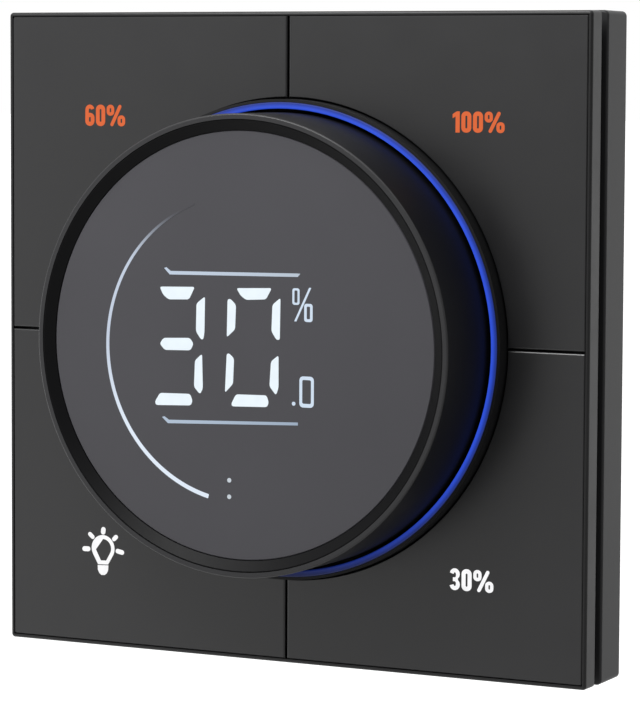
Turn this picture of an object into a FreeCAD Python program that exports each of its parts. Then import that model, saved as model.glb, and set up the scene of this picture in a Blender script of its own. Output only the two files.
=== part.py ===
"""Smart dimmer switch for a square wall box: four push keys round a turning knob with a display.

Millimetres. X runs right as seen from the front, Y into the wall and Z up. The origin is the
middle of the wall plane, between the two screw slots of the mounting strap. A height is measured
out of the wall towards the user, so a point at height h lies at Y = -h, and what sits inside the
wall box has negative heights.
"""
import FreeCAD, Part
import math
import os
import types

import Sketcher

# Driving sizes: millimetres, degrees where the name says angle, and counts where it says count.
SIZES = {
    # Key field
    "panel_width": 86.0,
    "panel_height": 86.0,
    "face_height": 11.1,
    "key_plate": 1.4,
    "key_seam": 0.24,
    "key_gap": 0.09,
    "key_corner": 0.3,
    "key_edge": 0.12,
    "key_seam_edge": 0.28,
    "key_rib": 0.8,
    "key_rib_depth": 0.4,
    # Trim frame round the keys
    "trim_drop": 0.05,
    "trim_depth": 2.9,
    "trim_wall": 0.5,
    "trim_width": 1.5,
    "trim_corner": 0.5,
    "trim_edge": 0.35,
    "trim_flange": 0.4,
    "trim_flange_reach": 1.55,
    "trim_pin_inset": 0.95,
    "trim_pin_place": 26.0,
    "trim_pin_radius": 0.5,
    "trim_pin_fit": 0.05,
    "trim_pin_tail": 0.3,
    # Snap hooks of a key
    "hook_across": 6.4,
    "hook_thickness": 1.2,
    "hook_width": 4.0,
    "hook_barb": 0.7,
    "hook_barb_height": 0.9,
    "hook_play": 0.05,
    "hook_clearance": 0.25,
    # Rear frame
    "frame_depth": 6.2,
    "frame_overhang": 0.1,
    "frame_taper_angle": 0.5,
    "frame_wall": 2.0,
    "frame_deck": 1.4,
    "frame_corner": 0.7,
    "frame_edge": 0.3,
    "plinth_rise": 2.4,
    "plinth_gap": 0.45,
    "plinth_wall": 1.2,
    # Knob sleeve
    "knob_radius": 29.85,
    "knob_rise": 13.8,
    "knob_wall": 0.72,
    "knob_edge": 0.25,
    "knob_lip_setback": 5.6,
    "knob_lip_thickness": 1.6,
    "knob_lip_width": 1.75,
    "running_clearance": 0.08,
    "end_play": 0.1,
    "washer_thickness": 0.3,
    "washer_width": 2.0,
    # Gear ring, pinion and encoder
    "gear_rim": 3.13,
    "gear_ring_count": 52,
    "pinion_count": 13,
    "pressure_angle": 20.0,
    "gear_tip": 0.6,
    "gear_root": 1.15,
    "pinion_tip": 0.8,
    "pinion_root": 1.0,
    "gear_width": 3.2,
    "gear_backlash": 0.16,
    "pinion_width": 2.8,
    "pinion_setback": 0.2,
    "encoder_size": 12.0,
    "encoder_height": 4.0,
    "encoder_bush_radius": 4.0,
    "encoder_bush_height": 0.35,
    "encoder_shaft_radius": 3.0,
    "encoder_shaft_flat": 1.0,
    "encoder_shaft_seat": 2.8,
    "encoder_shaft_fit": 0.05,
    "encoder_window_gap": 0.4,
    # Light ring
    "light_ring_gap": 0.5,
    "light_ring_width": 0.85,
    "light_ring_rise": 2.1,
    "light_ring_edge": 0.15,
    "light_foot_count": 8,
    "light_foot_width": 4.0,
    "light_foot_length": 2.9,
    "light_foot_gap": 0.1,
    "collar_fit": 0.05,
    "collar_wall": 0.35,
    "collar_drop": 0.15,
    "collar_key_gap": 0.2,
    "lamp_size": 1.6,
    "lamp_height": 0.8,
    # Display
    "bezel_setback": 0.08,
    "bezel_land": 0.1,
    "bezel_width": 2.21,
    "lens_recess": 0.88,
    "lens_thickness": 1.5,
    "lens_fit": 0.06,
    "lens_ledge": 1.5,
    "lens_edge": 0.12,
    "housing_depth": 7.0,
    "housing_floor": 1.2,
    "display_gap": 0.1,
    "display_fit": 0.3,
    "display_thickness": 4.0,
    "display_board_thickness": 1.2,
    "leg_inset": 5.52,
    "leg_radius": 2.6,
    "leg_count": 4,
    "display_header_drop": 7.5,
    "display_header_length": 12.8,
    "display_header_width": 4.8,
    "display_header_height": 6.5,
    "header_pin": 0.64,
    "header_pitch": 2.54,
    "header_pin_count": 5,
    "slot_clearance": 0.4,
    # Icon windows
    "icon_inset_x": 11.67,
    "icon_inset_z": 9.97,
    "icon_guide_width": 8.4,
    "icon_guide_height": 4.6,
    "icon_guide_length": 1.8,
    # Control board, key switches and radio
    "board_height": 4.6,
    "board_thickness": 1.2,
    "board_gap": 0.65,
    "board_corner": 2.0,
    "screw_access_radius": 5.0,
    "switch_inset": 7.2,
    "switch_size": 6.0,
    "switch_height": 2.5,
    "switch_cover": 0.4,
    "plunger_radius": 1.75,
    "plunger_flange": 0.5,
    "plunger_fit": 0.1,
    "plunger_drop": 1.9,
    "key_stem_radius": 2.2,
    "key_stem_length": 0.8,
    "stem_clearance": 0.4,
    "post_inset": 3.45,
    "post_place_z": 18.5,
    "post_radius": 2.2,
    "radio_drop": 20.5,
    "radio_width": 17.0,
    "radio_length": 13.0,
    "radio_board": 0.8,
    "radio_shield_height": 1.6,
    "radio_shield_margin": 1.0,
    # Screws
    "screw_radius": 1.0,
    "screw_head_radius": 1.9,
    "screw_head_height": 1.2,
    "screw_clearance": 0.2,
    "screw_grip": 4.0,
    "screw_slot": 0.5,
    # Mounting strap
    "strap_side_gap": 2.9,
    "strap_gap": 0.5,
    "strap_thickness": 1.2,
    "strap_flange": 3.0,
    "strap_bend": 0.8,
    "strap_land": 3.6,
    "wall_screw_inset": 12.85,
    "wall_slot_width": 4.4,
    "wall_slot_length": 8.0,
    "catch_place": 20.0,
    "catch_width": 8.0,
    "catch_depth": 1.1,
    "catch_low": 1.5,
    "catch_height": 0.9,
    "catch_clearance": 0.2,
    # Back housing
    "housing_size": 50.0,
    "housing_back": 28.0,
    "housing_wall": 1.6,
    "housing_corner": 4.0,
    "housing_rear_edge": 1.2,
    "boss_inset": 2.8,
    "boss_radius": 2.9,
    "cover_thickness": 1.5,
    "cover_fit": 0.15,
    "vent_width": 14.0,
    "vent_height": 1.4,
    "vent_pitch": 3.6,
    "vent_count": 4,
    "vent_start": 13.6,
    # Power board and its parts
    "power_board_drop": 10.0,
    "power_board_thickness": 1.6,
    "power_board_fit": 0.4,
    "board_seat_place": 13.6,
    "board_seat_width": 5.0,
    "board_seat_depth": 2.0,
    "link_drop": 8.0,
    "link_pin_count": 6,
    "link_strip_width": 2.5,
    "link_strip_height": 2.0,
    "link_socket_height": 7.0,
    "link_pin_reach": 11.0,
    "link_pin_fit": 0.1,
    "terminal_count": 4,
    "terminal_pitch": 8.4,
    "terminal_wall": 1.0,
    "terminal_height": 11.0,
    "terminal_length": 15.8,
    "terminal_well": 13.0,
    "clamp_height": 6.4,
    "clamp_fit": 0.15,
    "wire_width": 3.8,
    "wire_height": 3.4,
    "clamp_floor": 1.2,
    "terminal_screw_radius": 1.5,
    "terminal_head_radius": 2.8,
    "terminal_head_height": 2.0,
    "heat_plate_gap": 1.2,
    "heat_plate_thickness": 1.5,
    "heat_plate_height": 13.0,
    "triac_width": 10.0,
    "triac_depth": 4.4,
    "triac_height": 9.0,
    "triac_tab": 1.3,
    "triac_tab_height": 12.0,
    "triac_stand": 1.6,
    "triac_lead": 0.8,
    "core_place_x": -10.0,
    "core_place_z": -1.0,
    "core_width": 14.0,
    "core_height": 12.0,
    "core_depth": 5.0,
    "core_leg": 3.8,
    "core_window": 3.2,
    "core_window_height": 8.0,
    "bobbin_play": 0.1,
    "bobbin_overhang": 3.4,
    "choke_place_x": 9.6,
    "choke_place_z": -2.0,
    "choke_outer_radius": 6.2,
    "choke_inner_radius": 3.8,
    "choke_height": 5.0,
    "choke_tape": 0.3,
    "choke_wire": 0.7,
    "choke_turn_count": 14,
    "bulk_inset_x": 11.0,
    "bulk_inset_z": 10.0,
    "bulk_radius": 5.0,
    "bulk_height": 12.0,
    "bulk_groove": 0.4,
    "film_inset_x": 11.2,
    "film_inset_z": 11.4,
    "film_width": 12.0,
    "film_depth": 5.5,
    "film_height": 10.0,
    "film_edge": 0.4,
    "fuse_inset_x": 10.4,
    "fuse_inset_z": 11.4,
    "fuse_radius": 4.1,
    "fuse_height": 7.0,
}


class Size:
    """A size worked out from the sheet: its text is bound to objects, its value starts them."""

    def __init__(self, text, value):
        self.text = text
        self.value = value

    def _with(self, sign, other, value):
        return Size(f"({self.text} {sign} {as_size(other).text})", value)

    def __add__(self, other):
        return self._with("+", other, self.value + as_size(other).value)

    def __sub__(self, other):
        return self._with("-", other, self.value - as_size(other).value)

    def __mul__(self, other):
        return self._with("*", other, self.value * as_size(other).value)

    def __truediv__(self, other):
        return self._with("/", other, self.value / as_size(other).value)

    def __neg__(self):
        return Size(f"(0 - {self.text})", -self.value)


def as_size(number):
    """Lets a plain factor stand beside a size."""
    return number if isinstance(number, Size) else Size(repr(number), number)


doc = FreeCAD.newDocument("SmartDimmerSwitch")
sheet = doc.addObject("Spreadsheet::Sheet", "dims")
for row, (alias, number) in enumerate(SIZES.items(), start=1):
    sheet.set(f"A{row}", alias)
    sheet.set(f"B{row}", str(number))
    sheet.setAlias(f"B{row}", alias)
doc.recompute()
d = types.SimpleNamespace(**{alias: Size(f"dims.{alias}", number) for alias, number in SIZES.items()})

NONE = as_size(0)
SIGNS = {"upper_right": (1, 1), "upper_left": (-1, 1), "lower_left": (-1, -1), "lower_right": (1, -1)}
nodes = []

# Heights and radii that several pieces share, each worked out from the driving sizes
half_width = d.panel_width / 2
half_height = d.panel_height / 2
plate_back = d.face_height - d.key_plate
key_side_x = half_width - d.trim_wall - d.key_gap
key_side_z = half_height - d.trim_wall - d.key_gap
plinth = d.frame_depth + d.plinth_rise
plinth_back = plinth - d.plinth_wall
deck_back = d.frame_depth - d.frame_deck
plinth_half_width = half_width - d.trim_width - d.plinth_gap
plinth_half_height = half_height - d.trim_width - d.plinth_gap
cavity_half_width = plinth_half_width - d.plinth_wall
cavity_half_height = plinth_half_height - d.plinth_wall
trim_front = d.face_height - d.trim_drop
trim_foot = trim_front - d.trim_depth
flange_front = plinth + d.trim_flange
flange_bore_x = cavity_half_width - d.trim_flange_reach
flange_bore_z = cavity_half_height - d.trim_flange_reach
frame_half_width = half_width + d.frame_overhang
frame_half_height = half_height + d.frame_overhang
frame_inner_width = frame_half_width - d.frame_wall
frame_inner_height = frame_half_height - d.frame_wall
wall_screw_place = half_width - d.wall_screw_inset

knob_front = d.face_height + d.knob_rise
knob_bore = d.knob_radius - d.knob_wall
washer_top = plinth + d.washer_thickness
knob_foot = washer_top + d.end_play
lip_front = knob_front - d.knob_lip_setback
lip_back = lip_front - d.knob_lip_thickness
lip_bore = knob_bore - d.knob_lip_width
drum_radius = knob_bore - d.running_clearance
hub_radius = lip_bore - d.running_clearance

light_inner = d.knob_radius + d.light_ring_gap
light_outer = light_inner + d.light_ring_width
light_middle = (light_inner + light_outer) / 2
light_front = d.face_height + d.light_ring_rise
light_foot_tip = plinth - d.light_foot_length
light_foot_depth = d.light_ring_width - d.light_foot_gap * 2
collar_bore = light_outer + d.collar_fit
collar_radius = collar_bore + d.collar_wall
key_arc = collar_radius + d.collar_key_gap
hook_place_x = (key_arc + half_width - d.trim_width) / 2
hook_place_z = (key_arc + half_height - d.trim_width) / 2
switch_place_x = half_width - d.switch_inset
switch_place_z = half_height - d.switch_inset
icon_place_x = half_width - (half_width - key_arc) / 3 - d.icon_inset_x
icon_place_z = half_height - (half_height - key_arc) / 3 - d.icon_inset_z
rib_place_x = icon_place_x + d.icon_guide_width / 2 + d.key_rib
rib_place_z = icon_place_z + d.icon_guide_height / 2 + d.key_rib
post_place_x = cavity_half_width - d.post_inset

lens_front = knob_front - d.lens_recess
lens_back = lens_front - d.lens_thickness
lens_radius = d.knob_radius - d.bezel_width
pocket_radius = lens_radius + d.lens_fit
ledge_radius = lens_radius - d.lens_ledge
leg_place = (hub_radius - d.leg_inset) * math.sqrt(0.5)
floor_front = lens_back - d.housing_depth
floor_back = floor_front - d.housing_floor
display_back = lens_back - d.display_gap - d.display_thickness
display_board_back = display_back - d.display_board_thickness

board_back = d.board_height - d.board_thickness
lamp_front = d.board_height + d.lamp_height
switch_front = d.board_height + d.switch_height
stem_tip = plate_back - d.key_stem_length
plunger_foot = switch_front - d.switch_cover - d.end_play - d.plunger_flange
encoder_front = d.board_height + d.encoder_height
encoder_bush_front = encoder_front + d.encoder_bush_height
pinion_back = knob_foot + d.pinion_setback
pinion_front = pinion_back + d.pinion_width
gear_front = knob_foot + d.gear_width
gear_pitch_radius = knob_bore - d.gear_rim
gear_module = gear_pitch_radius * 2 / d.gear_ring_count
pinion_place = gear_module * (d.gear_ring_count - d.pinion_count) / 2

cavity_half = d.housing_size / 2 - d.housing_wall
boss_place = cavity_half - d.boss_inset
power_front = -d.power_board_drop
power_back = power_front - d.power_board_thickness
housing_inside = d.housing_wall - d.housing_back
terminal_foot = -cavity_half + d.cover_fit
terminal_middle = terminal_foot + d.terminal_height / 2
terminal_end = power_back - d.terminal_length
clamp_back = terminal_end + d.terminal_well
clamp_front = clamp_back - d.clamp_height
wire_middle = clamp_back - d.clamp_floor - d.wire_height / 2


def keep(obj, label):
    """Names a finished sub-part, which is then written out under that name."""
    obj.Label = label
    nodes.append(obj)
    return obj


def new_body(label):
    """Starts a part body that becomes the sub-part of that name."""
    return keep(doc.addObject("PartDesign::Body", label), label)


def sketch_on(body, role, height=NONE):
    """Adds a sketch on one of the body's origin planes, raised along that plane's normal."""
    sketch = body.newObject("Sketcher::SketchObject", "Profile")
    plane = next(item for item in body.Origin.OriginFeatures if item.Role == role)
    sketch.AttachmentSupport = [(plane, "")]
    sketch.MapMode = "FlatFace"
    sketch.setExpression("AttachmentOffset.Base.z", height.text)
    return sketch


def tie(sketch, kind, where, size):
    """Adds a measured constraint to a sketch and binds it to its size."""
    index = sketch.addConstraint(Sketcher.Constraint(kind, *where, size.value))
    sketch.setExpression(f"Constraints[{index}]", size.text)


def outline(sketch, points):
    """Draws a closed outline with straight edges, each corner tied to the sketch's axes."""
    first = sketch.GeometryCount
    corners = [FreeCAD.Vector(across.value, up.value, 0) for across, up in points]
    count = len(points)
    for index in range(count):
        sketch.addGeometry(Part.LineSegment(corners[index], corners[(index + 1) % count]), False)
    for index in range(count):
        follower = first + (index + 1) % count
        sketch.addConstraint(Sketcher.Constraint("Coincident", first + index, 2, follower, 1))
    for index, (across, up) in enumerate(points):
        tie(sketch, "DistanceX", (-1, 1, first + index, 1), across)
        tie(sketch, "DistanceY", (-1, 1, first + index, 1), up)


def rectangle(sketch, left, low, right, high):
    """Draws a rectangle between two opposite corners."""
    outline(sketch, [(left, low), (right, low), (right, high), (left, high)])


def centred(sketch, across, up, width, height):
    """Draws a rectangle round its middle."""
    rectangle(sketch, across - width / 2, up - height / 2, across + width / 2, up + height / 2)


def circle(sketch, across, up, radius):
    """Draws a circle round its middle."""
    index = sketch.GeometryCount
    middle = FreeCAD.Vector(across.value, up.value, 0)
    sketch.addGeometry(Part.Circle(middle, FreeCAD.Vector(0, 0, 1), radius.value), False)
    tie(sketch, "DistanceX", (-1, 1, index, 3), across)
    tie(sketch, "DistanceY", (-1, 1, index, 3), up)
    tie(sketch, "Radius", (index,), radius)


def slot(sketch, across, up, width, length):
    """Draws a round-ended slot along X, its two arcs tangent to its two straight edges."""
    first = sketch.GeometryCount
    radius = width / 2
    reach = (length - width) / 2
    left = FreeCAD.Vector((across - reach).value, up.value, 0)
    right = FreeCAD.Vector((across + reach).value, up.value, 0)
    rise = FreeCAD.Vector(0, radius.value, 0)
    normal = FreeCAD.Vector(0, 0, 1)
    quarter = math.pi / 2
    sketch.addGeometry(Part.ArcOfCircle(Part.Circle(left, normal, radius.value), quarter, 3 * quarter))
    sketch.addGeometry(Part.LineSegment(left - rise, right - rise))
    sketch.addGeometry(Part.ArcOfCircle(Part.Circle(right, normal, radius.value), -quarter, quarter))
    sketch.addGeometry(Part.LineSegment(right + rise, left + rise))
    for here, there in ((0, 1), (1, 2), (2, 3), (3, 0)):
        sketch.addConstraint(Sketcher.Constraint("Tangent", first + here, 2, first + there, 1))
    sketch.addConstraint(Sketcher.Constraint("Equal", first, first + 2))
    tie(sketch, "DistanceX", (-1, 1, first, 3), across - reach)
    tie(sketch, "DistanceX", (-1, 1, first + 2, 3), across + reach)
    tie(sketch, "DistanceY", (-1, 1, first, 3), up)
    tie(sketch, "DistanceY", (-1, 1, first + 2, 3), up)
    tie(sketch, "Radius", (first,), radius)


def pad(body, sketch, length, inward=False):
    """Adds material towards the user, or towards the wall where inward is set."""
    feature = body.newObject("PartDesign::Pad", "Pad")
    feature.Profile = sketch
    feature.Reversed = inward
    feature.setExpression("Length", length.text)
    return feature


def pocket(body, sketch, depth, outward=False):
    """Cuts towards the wall, or towards the user where outward is set."""
    feature = body.newObject("PartDesign::Pocket", "Pocket")
    feature.Profile = sketch
    feature.Reversed = outward
    feature.setExpression("Length", depth.text)
    return feature


def turned(body, points):
    """Turns an outline of radius and height pairs round the knob's axis."""
    profile = sketch_on(body, "XY_Plane")
    outline(profile, [(radius, -height) for radius, height in points])
    feature = body.newObject("PartDesign::Revolution", "Revolution")
    feature.Profile = profile
    feature.ReferenceAxis = (profile, ["V_Axis"])
    feature.Angle = 360
    return feature


def round_pattern(body, feature, count):
    """Repeats a feature round the knob's axis."""
    pattern = body.newObject("PartDesign::PolarPattern", "Pattern")
    pattern.Originals = [feature]
    axis = next(item for item in body.Origin.OriginFeatures if item.Role == "Y_Axis")
    pattern.Axis = (axis, [""])
    pattern.Angle = 360
    pattern.setExpression("Occurrences", count.text)
    body.Tip = pattern
    return pattern


def edges_where(feature, test):
    """Lists a feature's edges whose two ends and middle all pass a test on their place."""
    doc.recompute()
    names = []
    for index, edge in enumerate(feature.Shape.Edges, start=1):
        ends = [vertex.Point for vertex in edge.Vertexes]
        middle = edge.valueAt((edge.FirstParameter + edge.LastParameter) / 2)
        if all(test(point) for point in ends + [middle]):
            names.append(f"Edge{index}")
    return names


def same(first, second):
    """Tells whether two places along an axis are the same one."""
    return abs(first - second) < 1e-4


def fillet(body, feature, radius, test):
    """Rounds the edges of a feature that pass the test."""
    rounding = body.newObject("PartDesign::Fillet", "Fillet")
    rounding.Base = (feature, edges_where(feature, test))
    rounding.setExpression("Radius", radius.text)
    return rounding


def chamfer(body, feature, size, test):
    """Bevels the edges of a feature that pass the test."""
    bevel = body.newObject("PartDesign::Chamfer", "Chamfer")
    bevel.Base = (feature, edges_where(feature, test))
    bevel.setExpression("Size", size.text)
    return bevel


def block(x, z, width, height, low, high):
    """A box round a middle in X and Z, between two heights out of the wall."""
    obj = doc.addObject("Part::Box", "Block")
    obj.setExpression("Length", width.text)
    obj.setExpression("Height", height.text)
    obj.setExpression("Width", (high - low).text)
    obj.setExpression("Placement.Base.x", (x - width / 2).text)
    obj.setExpression("Placement.Base.y", (-high).text)
    obj.setExpression("Placement.Base.z", (z - height / 2).text)
    return obj


def rod(x, z, radius, low, high):
    """A cylinder that stands out of the wall between two heights."""
    obj = doc.addObject("Part::Cylinder", "Rod")
    obj.Placement.Rotation = FreeCAD.Rotation(FreeCAD.Vector(1, 0, 0), 90)
    obj.setExpression("Radius", radius.text)
    obj.setExpression("Height", (high - low).text)
    obj.setExpression("Placement.Base.x", x.text)
    obj.setExpression("Placement.Base.y", (-low).text)
    obj.setExpression("Placement.Base.z", z.text)
    return obj


def fuse(parts):
    """Joins overlapping or touching shapes into one."""
    if len(parts) == 1:
        return parts[0]
    obj = doc.addObject("Part::MultiFuse", "Joined")
    obj.Shapes = parts
    return obj


def cut(base, tools):
    """Takes tools out of a base."""
    obj = doc.addObject("Part::Cut", "Cut")
    obj.Base = base
    obj.Tool = fuse(tools)
    return obj


def group(parts):
    """Keeps like pieces together as separate solids."""
    obj = doc.addObject("Part::Compound", "Group")
    obj.Links = parts
    return obj


def around(place_x, place_z):
    """The four places that mirror one another in both axes."""
    return [(place_x * sign_x, place_z * sign_z) for sign_x, sign_z in SIGNS.values()]


def round_places(radius, count, offset):
    """Evenly spaced places on a circle round the knob's axis, the first at the offset angle."""
    turns = [offset + 360.0 * index / count for index in range(count)]
    return [(radius * math.cos(math.radians(turn)), radius * math.sin(math.radians(turn)))
            for turn in turns]


def screw(x, z, seat, grip, towards_user):
    """A pan-head screw: its slotted head stands on the seat and its shank runs into the piece."""
    sign = 1 if towards_user else -1
    heights = sorted((seat, seat - d.screw_head_height * sign), key=lambda size: size.value)
    head = rod(x, z, d.screw_head_radius, *heights)
    crown = heights[0] if towards_user else heights[1]
    recess = sorted((crown, crown + d.screw_slot * sign), key=lambda size: size.value)
    drive = block(x, z, d.screw_head_radius * 2, d.screw_slot, *recess)
    shank = rod(x, z, d.screw_radius, *sorted((seat, seat + grip * sign), key=lambda size: size.value))
    return fuse([cut(head, [drive]), shank])


def header_pins(x, z, count, low, high):
    """A row of square pins along X."""
    middle = (SIZES[count] - 1) / 2
    return [block(x + d.header_pitch * (index - middle), z, d.header_pin, d.header_pin, low, high)
            for index in range(SIZES[count])]


def build_keys():
    """Four moulded key caps: each a face plate with ribs, a stem and two snap hooks behind it."""
    body = new_body("key_upper_right")
    plate = sketch_on(body, "XZ_Plane", plate_back)
    rectangle(plate, d.key_seam / 2, d.key_seam / 2, key_side_x, key_side_z)
    slab = pad(body, plate, d.key_plate)
    corner_x, corner_z, front = key_side_x.value, key_side_z.value, -SIZES["face_height"]
    fillet(body, slab, d.key_corner, lambda p: same(p.x, corner_x) and same(p.z, corner_z))

    # The stem and the ribs stand on the back of the plate, and the arc round the knob cuts them all
    backing = sketch_on(body, "XZ_Plane", plate_back)
    circle(backing, switch_place_x, switch_place_z, d.key_stem_radius)
    pad(body, backing, d.key_stem_length, inward=True)
    ribs = sketch_on(body, "XZ_Plane", plate_back)
    rectangle(ribs, rib_place_x, d.key_rib * 2, rib_place_x + d.key_rib, flange_bore_z - d.key_rib)
    rectangle(ribs, d.key_rib * 2, rib_place_z, rib_place_x, rib_place_z + d.key_rib)
    pad(body, ribs, d.key_rib_depth, inward=True)
    ring_side = sketch_on(body, "XZ_Plane", d.face_height)
    circle(ring_side, NONE, NONE, key_arc)
    pocket(body, ring_side, d.key_plate + d.key_rib_depth)

    # One hook near each end of the quadrant, its barb facing out under the plinth
    barb_top = plinth_back - d.hook_play
    barb_foot = barb_top - d.hook_barb_height
    legs = sketch_on(body, "XZ_Plane", plate_back)
    centred(legs, hook_place_x, d.hook_across, d.hook_thickness, d.hook_width)
    centred(legs, d.hook_across, hook_place_z, d.hook_width, d.hook_thickness)
    pad(body, legs, plate_back - barb_foot, inward=True)
    barbs = sketch_on(body, "XZ_Plane", barb_foot)
    reach = d.hook_thickness / 2 + d.hook_barb / 2
    centred(barbs, hook_place_x + reach, d.hook_across, d.hook_barb, d.hook_width)
    centred(barbs, d.hook_across, hook_place_z + reach, d.hook_width, d.hook_barb)
    hooked = pad(body, barbs, d.hook_barb_height)

    arc = key_arc.value
    outer = chamfer(body, hooked, d.key_edge, lambda p: same(p.y, front) and (
        same(p.x, corner_x) or same(p.z, corner_z) or same(math.hypot(p.x, p.z), arc)
        or math.hypot(p.x, p.z) > corner_x + SIZES["key_corner"]))
    seam = SIZES["key_seam"] / 2
    fillet(body, outer, d.key_seam_edge,
           lambda p: same(p.y, front) and (same(p.x, seam) or same(p.z, seam)))

    for name in ("upper_left", "lower_left", "lower_right"):
        sign_x, sign_z = SIGNS[name]
        source = body
        for sign, normal in ((sign_x, FreeCAD.Vector(1, 0, 0)), (sign_z, FreeCAD.Vector(0, 0, 1))):
            if sign < 0:
                mirror = doc.addObject("Part::Mirroring", "Mirror")
                mirror.Source = source
                mirror.Normal = normal
                source = mirror
        keep(source, f"key_{name}")


def build_key_fittings():
    """Behind each key: the plunger of its switch and the light guide of its icon."""
    flange_radius = d.plunger_radius + d.plunger_flange
    for name, (sign_x, sign_z) in SIGNS.items():
        x, z = switch_place_x * sign_x, switch_place_z * sign_z
        stem = rod(x, z, d.plunger_radius, plunger_foot, stem_tip)
        flange = rod(x, z, flange_radius, plunger_foot, plunger_foot + d.plunger_flange)
        keep(fuse([stem, flange]), f"switch_plunger_{name}")
    for name, (sign_x, sign_z) in SIGNS.items():
        guide = block(icon_place_x * sign_x, icon_place_z * sign_z, d.icon_guide_width,
                      d.icon_guide_height, plate_back - d.icon_guide_length, plate_back)
        keep(guide, f"icon_guide_{name}")


def trim_pin_places():
    """The places of the eight pins that fix the trim frame, two along each side."""
    across = cavity_half_width - d.trim_pin_inset
    up = cavity_half_height - d.trim_pin_inset
    return around(across, d.trim_pin_place) + around(d.trim_pin_place, up)


def build_trim_frame():
    """The one-piece frame round the four keys: a lip, a wall, and a flange pinned to the plinth."""
    body = new_body("trim_frame")
    base = sketch_on(body, "XZ_Plane", trim_foot)
    rectangle(base, -half_width, -half_height, half_width, half_height)
    slab = pad(body, base, d.trim_depth)
    limit_x, limit_z, front = half_width.value, half_height.value, -trim_front.value
    corners = fillet(body, slab, d.trim_corner,
                     lambda p: same(abs(p.x), limit_x) and same(abs(p.z), limit_z))
    fillet(body, corners, d.trim_edge, lambda p: same(p.y, front))
    lip = sketch_on(body, "XZ_Plane", trim_front)
    lip_x, lip_z = half_width - d.trim_wall, half_height - d.trim_wall
    rectangle(lip, -lip_x, -lip_z, lip_x, lip_z)
    pocket(body, lip, trim_front - flange_front)
    window = sketch_on(body, "XZ_Plane", flange_front)
    rectangle(window, -flange_bore_x, -flange_bore_z, flange_bore_x, flange_bore_z)
    pocket(body, window, d.trim_depth)
    seat = sketch_on(body, "XZ_Plane", trim_foot)
    seat_x, seat_z = half_width - d.trim_width, half_height - d.trim_width
    rectangle(seat, -seat_x, -seat_z, seat_x, seat_z)
    pocket(body, seat, plinth - trim_foot, outward=True)
    pins = sketch_on(body, "XZ_Plane", plinth)
    for x, z in trim_pin_places():
        circle(pins, x, z, d.trim_pin_radius)
    pad(body, pins, d.plinth_wall + d.trim_pin_tail, inward=True)


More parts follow.
